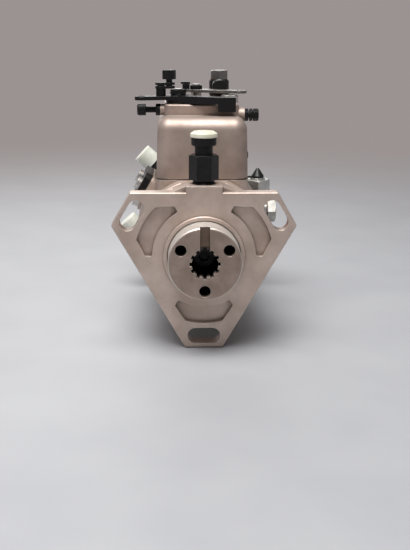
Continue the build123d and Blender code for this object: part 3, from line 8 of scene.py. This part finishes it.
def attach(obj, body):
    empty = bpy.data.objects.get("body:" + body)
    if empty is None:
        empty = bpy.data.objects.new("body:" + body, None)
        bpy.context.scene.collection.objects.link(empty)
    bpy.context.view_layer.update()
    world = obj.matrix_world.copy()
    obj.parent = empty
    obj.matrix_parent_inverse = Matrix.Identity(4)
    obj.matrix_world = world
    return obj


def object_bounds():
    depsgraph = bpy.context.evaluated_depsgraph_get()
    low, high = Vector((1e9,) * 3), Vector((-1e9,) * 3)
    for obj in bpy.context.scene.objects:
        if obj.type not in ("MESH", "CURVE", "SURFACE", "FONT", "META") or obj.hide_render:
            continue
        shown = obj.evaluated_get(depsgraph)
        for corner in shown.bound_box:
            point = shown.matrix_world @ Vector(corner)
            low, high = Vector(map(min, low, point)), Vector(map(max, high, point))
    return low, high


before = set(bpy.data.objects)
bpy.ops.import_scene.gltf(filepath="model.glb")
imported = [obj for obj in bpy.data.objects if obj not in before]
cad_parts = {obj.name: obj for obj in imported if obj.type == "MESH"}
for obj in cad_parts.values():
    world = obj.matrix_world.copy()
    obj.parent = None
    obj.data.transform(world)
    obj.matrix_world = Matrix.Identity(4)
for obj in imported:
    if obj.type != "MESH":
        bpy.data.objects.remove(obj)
solids_box = [list(corner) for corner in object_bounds()]

# ============================================================ camera
# A short telephoto lens in front of the drive end, a little above the pump and
# looking down on it, with the drive hub close to the middle of the frame.

camera_place = (-0.01835, -0.6110, 0.1469)
turned_aside, tipped_down, rolled = -1.775, 14.547, 0.179  # degrees

camera = bpy.data.cameras.new("bench_camera")
camera.lens = 67.16
camera.sensor_width = 36.0
camera_rig = bpy.data.objects.new("bench_camera", camera)
camera_turn = (
    Matrix.Rotation(radians(turned_aside), 4, "Z")
    @ Matrix.Rotation(radians(90 - tipped_down), 4, "X")
    @ Matrix.Rotation(radians(rolled), 4, "Z")
)
camera_rig.matrix_world = Matrix.Translation(camera_place) @ camera_turn
bpy.context.scene.collection.objects.link(camera_rig)
bpy.context.scene.camera = camera_rig

# ============================================================ pump housing
# Sand-cast aluminium body with a machined three-cornered flange. Rebuilt pumps are
# blasted with wet beads, which leaves an even warm grey satin with a fine tooth.


def linear(code):
    """sRGB hex to linear with an alpha of 1: c / 12.92 up to 0.04045, and above that
    ((c + 0.055) / 1.055) to the power 2.4."""
    channels = [int(code[k : k + 2], 16) / 255 for k in (1, 3, 5)]
    return tuple(
        c / 12.92 if c <= 0.04045 else ((c + 0.055) / 1.055) ** 2.4 for c in channels
    ) + (1.0,)


def add(tree, kind, sockets=None, **settings):
    """Adds one node. settings are its own options, and sockets maps an input's name or number
    to a value or to another node's output. On a map range, 0 is the value, 1 and 2 are the
    range that it comes from, and 3 and 4 the range that it goes to, held at both ends. On a
    colour mix, 0 is the share from 0 to 1, and 6 and 7 are the two colours."""
    made = tree.nodes.new(kind)
    for name, value in settings.items():
        setattr(made, name, value)
    for key, value in (sockets or {}).items():
        if isinstance(value, bpy.types.NodeSocket):
            tree.links.new(value, made.inputs[key])
        else:
            made.inputs[key].default_value = value
    return made


def new_surface(name):
    """A new material: its node tree, its shader, and the place on the piece in millimetres."""
    material = bpy.data.materials.new(name)
    material.use_nodes = True
    tree = material.node_tree
    shader = tree.nodes["Principled BSDF"]
    place = add(tree, "ShaderNodeTexCoord").outputs["Object"]
    millimetres = add(
        tree, "ShaderNodeVectorMath", {0: place, "Scale": 1000.0}, operation="SCALE"
    ).outputs[0]
    return material, tree, shader, millimetres


def drifting_tone(tree, spot, patch, light, dark, low, high, detail, roughness=0.5):
    """A colour that goes from light to dark as a noise with patches of the given size in
    millimetres goes from low to high, and that noise for the gloss and the bump."""
    noise = add(
        tree,
        "ShaderNodeTexNoise",
        {"Vector": spot, "Scale": 1 / patch, "Detail": detail, "Roughness": roughness},
    ).outputs[0]
    share = add(tree, "ShaderNodeMapRange", {0: noise, 1: low, 2: high}).outputs[0]
    tone = add(
        tree, "ShaderNodeMix", {0: share, 6: linear(light), 7: linear(dark)}, data_type="RGBA"
    ).outputs[2]
    return tone, noise


def laid_over(tree, tone, colour, where, low=0.0, high=1.0, most=1.0):
    """Lays a colour over a tone: nothing of it up to low, and most of it from high on."""
    share = add(
        tree, "ShaderNodeMapRange", {0: where, 1: low, 2: high, 3: 0.0, 4: most}
    ).outputs[0]
    return add(
        tree, "ShaderNodeMix", {0: share, 6: tone, 7: linear(colour)}, data_type="RGBA"
    ).outputs[2]


def broken_edges(tree, radius):
    """Breaks the sharp edges to a radius in millimetres, and gives three things: the eased normal,
    how much a point lies on an outer edge (its eased normal turns off the straight one and the air
    around it is open), which carries rubbed wear and a painted highlight, and how much it lies in
    a corner (ambient occlusion finds the air shut in), which carries painted shade."""
    corner_reach = 0.004  # metres
    flat, turned_off = 0.995, 0.88  # cosine between the two normals
    shut_in, half_open, nearly_open, open_air = 0.30, 0.72, 0.75, 0.95

    eased = add(tree, "ShaderNodeBevel", {"Radius": radius / 1000}, samples=4).outputs[0]
    straight = add(tree, "ShaderNodeNewGeometry").outputs["Normal"]
    alike = add(
        tree, "ShaderNodeVectorMath", {0: eased, 1: straight}, operation="DOT_PRODUCT"
    ).outputs["Value"]
    air = add(
        tree, "ShaderNodeAmbientOcclusion", {"Distance": corner_reach}, samples=4
    ).outputs["AO"]
    turned = add(tree, "ShaderNodeMapRange", {0: alike, 1: flat, 2: turned_off}).outputs[0]
    exposed = add(tree, "ShaderNodeMapRange", {0: air, 1: nearly_open, 2: open_air}).outputs[0]
    # Open outer edges, which carry rubbed wear and a painted highlight.
    outer = add(tree, "ShaderNodeMath", {0: turned, 1: exposed}, operation="MULTIPLY").outputs[0]
    # Where ambient occlusion finds the air shut in, the corner is marked for painted shade.
    corner = add(tree, "ShaderNodeMapRange", {0: air, 1: half_open, 2: shut_in}).outputs[0]
    return eased, outer, corner


def bead_blasted_casting(name, light, dark, stain):
    """Cast aluminium under wet bead blasting: mottled in patches, flecked with stain, with rubbed
    wear and a painted highlight on its outer edges and painted shade darkening its corners. The
    tooth is drawn coarser than the real 0.1 mm so that it shows."""
    patch, fleck, tooth = 18, 1.6, 0.7  # millimetres
    tooth_depth, swell_depth = 0.00012, 0.0012  # metres
    rubbed_and_highlit_edge, painted_corner_shade = "#E6DFD8", "#4A3F39"

    material, tree, shader, spot = new_surface(name)
    skin, patches = drifting_tone(
        tree, spot, patch, light, dark, low=0.35, high=0.68, detail=3.0, roughness=0.55
    )
    flecks = add(
        tree, "ShaderNodeTexNoise", {"Vector": spot, "Scale": 1 / fleck, "Detail": 2.0}
    ).outputs[0]
    skin = laid_over(tree, skin, stain, flecks, low=0.62, high=0.80, most=0.35)
    eased, outer, corner = broken_edges(tree, radius=0.5)
    # Painted shade: corners where the air is shut in are darkened.
    skin = laid_over(tree, skin, painted_corner_shade, corner, most=0.75)
    # Rubbed wear and a painted highlight: the open outer edges are lightened.
    skin = laid_over(tree, skin, rubbed_and_highlit_edge, outer, most=0.8)
    tree.links.new(skin, shader.inputs["Base Color"])

    shader.inputs["Metallic"].default_value = 0.62
    mottled = add(tree, "ShaderNodeMapRange", {0: patches, 1: 0.3, 2: 0.7, 3: 0.46, 4: 0.58})
    tree.links.new(mottled.outputs[0], shader.inputs["Roughness"])

    grit = add(tree, "ShaderNodeTexNoise", {"Vector": spot, "Scale": 1 / tooth, "Detail": 1.5})
    toothed = add(
        tree,
        "ShaderNodeBump",
        {"Height": grit.outputs[0], "Strength": 0.25, "Distance": tooth_depth, "Normal": eased},
    ).outputs[0]
    swollen = add(
        tree,
        "ShaderNodeBump",
        {"Height": patches, "Strength": 0.25, "Distance": swell_depth, "Normal": toothed},
    ).outputs[0]
    tree.links.new(swollen, shader.inputs["Normal"])
    return material


def dress(material, *names):
    """Gives CAD pieces their finish."""
    for name in names:
        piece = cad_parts[name]
        if not piece.material_slots:
            piece.data.materials.append(material)
        for slot in piece.material_slots:
            slot.material = material


housing_casting = bead_blasted_casting(
    "bead_blasted_cast_aluminium", "#D3C1B6", "#BDAA9E", "#938378"
)
dress(housing_casting, "pump_housing")

# ============================================================ drive hub
# Turned and ground steel hub with a splined bore, a keyway and three tapped gear holes. The face
# shows fine turning rings, and the bores are painted dark with shade deep inside.

ring_pitch = 0.6  # millimetres, drawn coarser than the real 0.1 mm so that the rings show
ring_depth = 0.00003  # metres
bores_start, bores_deep = -18.6, -14.5  # millimetres along the drive axis
bore_shade_full, bore_shade_ends = 21.2, 21.8  # millimetres from the drive axis
outside_starts, outside_full = 21.7, 22.0
keyway_wall_near, keyway_wall_far = 3.4, 3.6  # millimetres from the keyway's middle plane
keyway_foot_low, keyway_foot_high = 9.6, 10.2  # millimetres above the drive axis

hub_steel, hub_tree, hub_shader, hub_spot = new_surface("turned_steel_hub")
hub_tone, hub_cloud = drifting_tone(
    hub_tree, hub_spot, patch=9, light="#B09E92", dark="#958478", low=0.3, high=0.7, detail=4.0
)
hub_shader.inputs["Metallic"].default_value = 0.75
hub_mottled = add(hub_tree, "ShaderNodeMapRange", {0: hub_cloud, 1: 0.3, 2: 0.7, 3: 0.42, 4: 0.54})
hub_tree.links.new(hub_mottled.outputs[0], hub_shader.inputs["Roughness"])

# Turning rings: their height is the sine of the radius over the pitch, in full turns.
across, along, upward = add(hub_tree, "ShaderNodeSeparateXYZ", {0: hub_spot}).outputs
flat_spot = add(hub_tree, "ShaderNodeCombineXYZ", {0: across, 1: upward}).outputs[0]
hub_radius = add(
    hub_tree, "ShaderNodeVectorMath", {0: flat_spot}, operation="LENGTH"
).outputs["Value"]
ring_angle = add(
    hub_tree, "ShaderNodeMath", {0: hub_radius, 1: 2 * pi / ring_pitch}, operation="MULTIPLY"
).outputs[0]
rings = add(hub_tree, "ShaderNodeMath", {0: ring_angle}, operation="SINE").outputs[0]
hub_eased, hub_outer, _ = broken_edges(hub_tree, radius=0.4)
grooves = add(
    hub_tree,
    "ShaderNodeBump",
    {"Height": rings, "Strength": 0.12, "Distance": ring_depth, "Normal": hub_eased},
).outputs[0]
hub_tree.links.new(grooves, hub_shader.inputs["Normal"])

# The edges get rubbed wear and a painted highlight, and the ground outside is cleaner and paler
# than the face.
hub_tone = laid_over(hub_tree, hub_tone, "#DDD6CF", hub_outer, most=0.7)
hub_tone = laid_over(hub_tree, hub_tone, "#EAE4DE", hub_radius, outside_starts, outside_full)

# Painted shade: black deep in the bores behind the face, a lighter brown in the keyway above the
# splines.
behind_face = add(hub_tree, "ShaderNodeMapRange", {0: along, 1: bores_start, 2: bores_deep})
inside_rim = add(
    hub_tree, "ShaderNodeMapRange", {0: hub_radius, 1: bore_shade_full, 2: bore_shade_ends, 3: 1.0, 4: 0.0}
)
deep_in_bores = add(
    hub_tree,
    "ShaderNodeMath",
    {0: behind_face.outputs[0], 1: inside_rim.outputs[0]},
    operation="MULTIPLY",
).outputs[0]
off_middle = add(hub_tree, "ShaderNodeMath", {0: across}, operation="ABSOLUTE").outputs[0]
between_walls = add(
    hub_tree,
    "ShaderNodeMapRange",
    {0: off_middle, 1: keyway_wall_near, 2: keyway_wall_far, 3: 1.0, 4: 0.0},
)
above_splines = add(
    hub_tree, "ShaderNodeMapRange", {0: upward, 1: keyway_foot_low, 2: keyway_foot_high}
)
in_keyway = add(
    hub_tree,
    "ShaderNodeMath",
    {0: between_walls.outputs[0], 1: above_splines.outputs[0]},
    operation="MULTIPLY",
).outputs[0]
# Painted shade in the bores: near black, and a lighter brown in the keyway.
bore_shade = laid_over(hub_tree, linear("#0E0C0B"), "#6E5A4C", in_keyway)
hub_tone = add(
    hub_tree, "ShaderNodeMix", {0: deep_in_bores, 6: hub_tone, 7: bore_shade}, data_type="RGBA"
).outputs[2]
hub_tree.links.new(hub_tone, hub_shader.inputs["Base Color"])
dress(hub_steel, "drive_hub")

# ============================================================ drive line inside
# Shaft, carrier, weights, sleeve, rotor, plungers and rollers: ground or turned
# alloy steel, bright and wet with fuel. The socket-head screws are black oxide.


def plain_finish(name, light, dark, dullness, metallic=1.0, patch=5.0, grain=0.0, edge_wear_and_highlight=None):
    """A machined, plated or moulded finish: a tone that drifts over patches of the given size in
    millimetres, a roughness that drifts up from dullness, and a fine grain of the given strength,
    drawn at 0.5 mm so that it shows. Where there is an edge colour, the outer edges are taken
    towards it, partly as rubbed wear and partly as a painted highlight."""
    grain_size, grain_depth = 0.5, 0.0001  # millimetres, metres
    rubbed_edge = 0.2  # millimetres

    material, tree, shader, spot = new_surface(name)
    tone, cloud = drifting_tone(
        tree, spot, patch, light, dark, low=0.32, high=0.68, detail=4.0, roughness=0.6
    )
    scratches = add(
        tree, "ShaderNodeTexNoise", {"Vector": spot, "Scale": 1 / grain_size, "Detail": 2.0}
    ).outputs[0]
    grained = add(
        tree, "ShaderNodeBump", {"Height": scratches, "Strength": grain, "Distance": grain_depth}
    )
    if edge_wear_and_highlight:
        eased, outer, _ = broken_edges(tree, rubbed_edge)
        # Rubbed wear and a painted highlight on the outer edges.
        tone = laid_over(tree, tone, edge_wear_and_highlight, outer, low=0.2, high=1.0, most=0.8)
        tree.links.new(eased, grained.inputs["Normal"])
    mottled = add(
        tree, "ShaderNodeMapRange", {0: cloud, 1: 0.3, 2: 0.7, 3: dullness, 4: dullness + 0.14}
    )
    tree.links.new(tone, shader.inputs["Base Color"])
    tree.links.new(mottled.outputs[0], shader.inputs["Roughness"])
    tree.links.new(grained.outputs[0], shader.inputs["Normal"])
    shader.inputs["Metallic"].default_value = metallic
    return material


# Ground steel is bright, pressed steel is greyer with a mill grain, and black oxide is nearly
# black with a low satin and grey edges, partly rubbed wear and partly a painted highlight.
ground_steel = plain_finish("ground_alloy_steel", "#C8C6C2", "#AFACA8", dullness=0.18)
pressed_steel = plain_finish("pressed_steel", "#A8A29C", "#8E8882", dullness=0.34, grain=0.12)
black_oxide = plain_finish(
    "black_oxide_steel", "#19181A", "#0D0C0D",
    dullness=0.36, metallic=0.35, patch=3.0, grain=0.2, edge_wear_and_highlight="#55524F",
)
dress(
    ground_steel,
    "drive_shaft", "thrust_sleeve", "rotor", "transfer_rotor", "plunger_1", "plunger_2",
    "roller_1", "roller_2", "cam_ring", "transfer_liner", "metering_valve",
    "regulating_sleeve", "regulating_piston",
)
dress(pressed_steel, "weight_cage", "drive_plate", "weight_1", "weight_2", "weight_3", "weight_4")
dress(black_oxide, "drive_screws")

# ============================================================ blades
# Pressed carbon vanes of the transfer pump: matt, almost black, faintly porous.

carbon = plain_finish(
    "pressed_carbon", "#2A2A2B", "#1C1C1D",
    dullness=0.62, metallic=0.0, patch=1.2, grain=0.3,
)
dress(carbon, "blade_1", "blade_2")

# ============================================================ seals and gaskets
# Nitrile rings and lip seal, matt black; pressed-fibre gaskets, dark brown, of
# which only the edge shows as a thin line between the castings.

nitrile = plain_finish(
    "moulded_nitrile_rubber", "#1A1A1A", "#121212",
    dullness=0.68, metallic=0.0, patch=4.0, grain=0.1,
)
fibre = plain_finish(
    "pressed_fibre_gasket", "#4A4038", "#352D27",
    dullness=0.85, metallic=0.0, patch=2.0, grain=0.35,
)
dress(nitrile, "oil_seal", "o_rings")
dress(fibre, "gaskets")

# ============================================================ hub bush
# Sintered bronze bush, bored to size after it is pressed in: a brown gold with
# a low shine.

bronze = plain_finish("sintered_bronze", "#B08A55", "#8C6A3E", dullness=0.36, grain=0.15)
dress(bronze, "hub_bush")

# ============================================================ hydraulic head
# Alloy-steel head with a grey phosphate skin, cloudy and darker than the castings.

phosphated = plain_finish(
    "phosphated_steel", "#8E8881", "#6F6962",
    dullness=0.42, patch=8.0, grain=0.25,
)
dress(phosphated, "hydraulic_head")

# ============================================================ governor linkage
# Bracket, arm, link rod and stop bar: pressed steel, zinc plated and passivated
# to a pale, slightly yellow silver. Springs are drawn wire, oil-tempered.

# Its edge colour is rubbed wear with a painted highlight.
zinc = plain_finish(
    "passivated_zinc_plate", "#D9D7D2", "#BFBDB8",
    dullness=0.36, patch=3.5, grain=0.1, edge_wear_and_highlight="#DEDCD8",
)
spring_wire = plain_finish(
    "oil_tempered_spring_wire", "#5E5B57", "#403E3B",
    dullness=0.30, patch=2.0,
)
dress(zinc, "governor_bracket", "governor_arm", "linkage_hook", "shutoff_bar")
dress(spring_wire, "governor_spring", "regulating_spring")

# ============================================================ end plate and screws
# End plate: the same blasted cast aluminium as the housing. Its screws and the
# head-locking screws are zinc plated, the regulating plug is black oxide.

end_casting = bead_blasted_casting("bead_blasted_end_plate", "#CFC4BC", "#BAAEA5", "#948980")
dress(end_casting, "end_plate")
dress(zinc, "hexagon_screws", "cheese_head_screws")
dress(black_oxide, "regulating_plug")

# ============================================================ unions, banjos and caps
# The inlet union and the back-leak banjo are black-oxide steel, the outlet banjos and
# the hollow bolts are zinc plated, the washers are copper. Caps are soft plastic.


def moulded_plastic(name, light, dark, dullness, glow):
    """Soft moulded plastic: a nearly even colour, a light grain of 0.6 mm, and some light let
    in, more of it in red and green than in blue."""
    patch, grain_size, grain_depth = 6, 0.6, 0.0001  # millimetres, and metres for the depth
    light_reach = (0.002, 0.002, 0.0017)  # metres

    material, tree, shader, spot = new_surface(name)
    tone, _ = drifting_tone(tree, spot, patch, light, dark, low=0.35, high=0.65, detail=2.0)
    tree.links.new(tone, shader.inputs["Base Color"])
    shader.inputs["Roughness"].default_value = dullness
    shader.inputs["Subsurface Weight"].default_value = glow
    shader.inputs["Subsurface Radius"].default_value = light_reach
    shader.inputs["Subsurface Scale"].default_value = 1.0
    grain = add(
        tree, "ShaderNodeTexNoise", {"Vector": spot, "Scale": 1 / grain_size, "Detail": 1.0}
    ).outputs[0]
    dimpled = add(
        tree, "ShaderNodeBump", {"Height": grain, "Strength": 0.10, "Distance": grain_depth}
    ).outputs[0]
    tree.links.new(dimpled, shader.inputs["Normal"])
    return material


copper = plain_finish("dulled_annealed_copper", "#7B6353", "#5F4B3F", dullness=0.42, patch=2.0)
white_polythene = moulded_plastic(
    "moulded_white_polythene", "#EAEAE0", "#DCDED1",
    dullness=0.40, glow=0.25,
)
black_polythene = moulded_plastic(
    "moulded_black_polythene", "#161616", "#0F0F0F",
    dullness=0.38, glow=0.0,
)
dress(black_oxide, "inlet_union", "return_banjo")
dress(zinc, "banjos")

# The hollow bolt of the back leak, above the cover, has lost its plating and is dull grey.
plating_ends, bare_from = 0.086, 0.088  # metres above the drive axis
bolt_zinc = plain_finish(
    "zinc_plated_hollow_bolts", "#C4C2BD", "#A6A39D",
    dullness=0.32, patch=3.0, grain=0.1,
)
bolt_tree = bolt_zinc.node_tree
bolt_colour = bolt_tree.nodes["Principled BSDF"].inputs["Base Color"]
bolt_place = add(bolt_tree, "ShaderNodeTexCoord").outputs["Object"]
bolt_height = add(bolt_tree, "ShaderNodeSeparateXYZ", {0: bolt_place}).outputs[2]
plated_tone = bolt_colour.links[0].from_socket
bolt_tone = laid_over(bolt_tree, plated_tone, "#8F8C8A", bolt_height, plating_ends, bare_from)
bolt_tree.links.new(bolt_tone, bolt_colour)

dress(bolt_zinc, "banjo_bolts")
dress(copper, "sealing_washers")
dress(white_polythene, "white_caps")
dress(black_polythene, "black_caps")

# ============================================================ inspection cover
# Pressed steel plate, black oxide, held by two cheese-head screws over the window
# in the left side of the barrel.

dress(black_oxide, "inspection_cover")

# ============================================================ governor cover
# Cast aluminium box with a broad soft shoulder, which catches a bright band of light.
# The same bead blasting as on the housing, a shade darker.

cover_casting = bead_blasted_casting(
    "bead_blasted_governor_cover", "#C1AFA5", "#A6948A", "#827268"
)
dress(cover_casting, "governor_cover")
dress(zinc, "cover_studs")
dress(black_oxide, "vent_screw")

# ============================================================ stop screws
# Black-oxide adjusting screws with lock nuts. The full-speed screw on the left shows
# some of its M4 thread between the nut and the sealing head.

dress(black_oxide, "stop_screws")
dress(black_oxide, "stop_screw_nuts")


def screw_thread(name, start, along, core, crest, pitch, length, material, body):
    """Outside of a thread, in millimetres. At angle a and distance s the radius is core plus
    (crest - core) times the height of a triangle wave of s / pitch - a / full turn. Both ends
    close to the axis."""
    around, rows_per_turn = 28, 6
    rows = int(length / pitch * rows_per_turn) + 1
    angle = np.linspace(0, 2 * pi, around, endpoint=False)
    reach = np.linspace(0, length, rows)
    phase = (reach[:, None] / pitch - angle[None, :] / (2 * pi)) % 1
    radius = core + (crest - core) * (1 - np.abs(2 * phase - 1))
    axis = np.array(along, float)
    side = np.array((0, 0, 1.0)) if abs(axis[2]) < 0.5 else np.array((1.0, 0, 0))
    other = np.cross(axis, side)
    ring = np.cos(angle)[:, None] * side + np.sin(angle)[:, None] * other
    points = radius[:, :, None] * ring[None] + reach[:, None, None] * axis + np.array(start)
    ends = np.array((start, np.array(start) + axis * length))

    row, column = np.meshgrid(np.arange(rows - 1), np.arange(around), indexing="ij")
    after = (column + 1) % around
    this_row, next_row = row * around, (row + 1) * around
    quads = np.stack(
        (this_row + column, this_row + after, next_row + after, next_row + column), -1
    )
    rim = np.arange(around)
    rim_after = (rim + 1) % around
    near_end, far_end, last_row = rows * around, rows * around + 1, (rows - 1) * around
    near = np.stack((np.full(around, near_end), rim_after, rim), -1)
    far = np.stack((np.full(around, far_end), last_row + rim, last_row + rim_after), -1)

    mesh = bpy.data.meshes.new(name)
    faces = quads.reshape(-1, 4).tolist() + near.tolist() + far.tolist()
    mesh.from_pydata((np.vstack((points.reshape(-1, 3), ends)) / 1000).tolist(), [], faces)
    mesh.materials.append(material)
    piece = bpy.data.objects.new(name, mesh)
    bpy.context.scene.collection.objects.link(piece)
    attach(piece, body)
    return piece


screw_thread(
    "full_speed_screw_thread",
    start=(-36.3, 66.6, 83.0),
    along=(1, 0, 0),
    core=1.76,
    crest=2.1,
    pitch=0.7,
    length=6.2,
    material=black_oxide,
    body="pump_body",
)

# ============================================================ throttle
# Forged steel lever, black oxide, on an upright ground shaft. The nut, washers
# and cable swivel are blackened as well.

dress(ground_steel, "throttle_shaft", "shutoff_shaft")
dress(black_oxide, "throttle_lever")
dress(black_oxide, "throttle_fittings")

# ============================================================ shut-off
# Flat pressed lever in zinc plate that has gone dull, with a small nut and a saddle
# clamp that are blackened.

# Its edge colour is rubbed wear with a painted highlight.
dull_zinc = plain_finish(
    "dulled_zinc_plate", "#9C9893", "#75716D",
    dullness=0.36, patch=4.0, grain=0.12, edge_wear_and_highlight="#C9C6C1",
)
dress(dull_zinc, "shutoff_lever")
dress(black_oxide, "shutoff_fittings")

# ============================================================ drain adaptor
# Black-oxide steel adaptor on the flange boss, closed with a push-in plug of
# soft cream plastic.

cream_polythene = moulded_plastic(
    "moulded_cream_polythene", "#E4E2CF", "#D6D4BE",
    dullness=0.42, glow=0.25,
)
dress(black_oxide, "drain_adaptor")
dress(cream_polythene, "drain_plug")

# ============================================================ bench and light
# Plain pale bench that fades into an even grey backdrop. A large soft box hangs above the
# pump and another stands behind it, so its top shines and its front is in soft shade.

backdrop_grey = "#9B9392"
bench_drop = 0.0002  # metres below the lowest point of the pump
bench_half = 40  # metres
haze_starts, haze_full = 200.0, 1150.0  # millimetres from the drive axis

bench_z = solids_box[0][2] - bench_drop
bench_corners = [
    (-bench_half, -bench_half, bench_z),
    (bench_half, -bench_half, bench_z),
    (bench_half, bench_half, bench_z),
    (-bench_half, bench_half, bench_z),
]
bench_mesh = bpy.data.meshes.new("bench_top")
bench_mesh.from_pydata(bench_corners, [], [(0, 1, 2, 3)])
bench = bpy.data.objects.new("bench_top", bench_mesh)
bpy.context.scene.collection.objects.link(bench)

laminate, laminate_tree, laminate_shader, laminate_spot = new_surface("pale_bench_laminate")
laminate_tone, _ = drifting_tone(
    laminate_tree, laminate_spot,
    patch=60, light="#B1B2B6", dark="#ABACB1", low=0.3, high=0.7, detail=3.0,
)
laminate_tree.links.new(laminate_tone, laminate_shader.inputs["Base Color"])
laminate_shader.inputs["Roughness"].default_value = 0.55
bench_spot = add(
    laminate_tree, "ShaderNodeVectorMath", {0: laminate_spot, 1: (1, 1, 0)}, operation="MULTIPLY"
).outputs[0]
away = add(
    laminate_tree, "ShaderNodeVectorMath", {0: bench_spot}, operation="LENGTH"
).outputs["Value"]
fade = add(
    laminate_tree,
    "ShaderNodeMapRange",
    {0: away, 1: haze_starts, 2: haze_full},
    interpolation_type="SMOOTHERSTEP",
).outputs[0]
seen = add(laminate_tree, "ShaderNodeLightPath").outputs
seen_or_mirrored = add(
    laminate_tree,
    "ShaderNodeMath",
    {0: seen["Is Camera Ray"], 1: seen["Is Glossy Ray"]},
    operation="MAXIMUM",
).outputs[0]
haze_share = add(
    laminate_tree, "ShaderNodeMath", {0: fade, 1: seen_or_mirrored}, operation="MULTIPLY"
).outputs[0]
haze = add(
    laminate_tree, "ShaderNodeEmission", {"Color": linear(backdrop_grey), "Strength": 1.0}
).outputs[0]
bench_skin = add(
    laminate_tree, "ShaderNodeMixShader", {0: haze_share, 1: laminate_shader.outputs[0], 2: haze}
).outputs[0]
laminate_tree.links.new(bench_skin, laminate_tree.nodes["Material Output"].inputs["Surface"])
bench_mesh.materials.append(laminate)

world = bpy.data.worlds.new("soft_surround")
bpy.context.scene.world = world
world.use_nodes = True
world_tree = world.node_tree
surround = world_tree.nodes["Background"]
surround.inputs["Color"].default_value = linear("#D8D8DC")
surround.inputs["Strength"].default_value = 0.22
backdrop = add(
    world_tree, "ShaderNodeBackground", {"Color": linear(backdrop_grey), "Strength": 1.0}
).outputs[0]
camera_ray = add(world_tree, "ShaderNodeLightPath").outputs["Is Camera Ray"]
surround_or_backdrop = add(
    world_tree, "ShaderNodeMixShader", {0: camera_ray, 1: surround.outputs[0], 2: backdrop}
).outputs[0]
world_tree.links.new(surround_or_backdrop, world_tree.nodes["World Output"].inputs["Surface"])


def soft_box(name, place, aim, size, watts, tint):
    """A square soft box of a size in metres at a place, turned to face a point."""
    lamp = bpy.data.lights.new(name, "AREA")
    lamp.shape = "SQUARE"
    lamp.size = size
    lamp.energy = watts
    lamp.color = linear(tint)[:3]
    stand = bpy.data.objects.new(name, lamp)
    turn = (Vector(place) - Vector(aim)).to_track_quat("Z", "Y").to_matrix().to_4x4()
    stand.matrix_world = Matrix.Translation(place) @ turn
    bpy.context.scene.collection.objects.link(stand)


soft_box(
    "overhead_soft_box", place=(-0.14, -0.22, 1.05), aim=(-0.02, 0.04, 0.0),
    size=0.8, watts=18.0, tint="#FFFEFC",
)
soft_box(
    "rear_soft_box", place=(-0.25, 1.30, 0.60), aim=(0.0, 0.05, 0.08),
    size=0.9, watts=5.0, tint="#FFFEFC",
)
soft_box(
    "front_left_fill", place=(-0.75, -0.95, 0.45), aim=(0.0, 0.0, 0.0),
    size=0.8, watts=0.3, tint="#FFF4EA",
)

bpy.context.scene.view_settings.view_transform = "Standard"
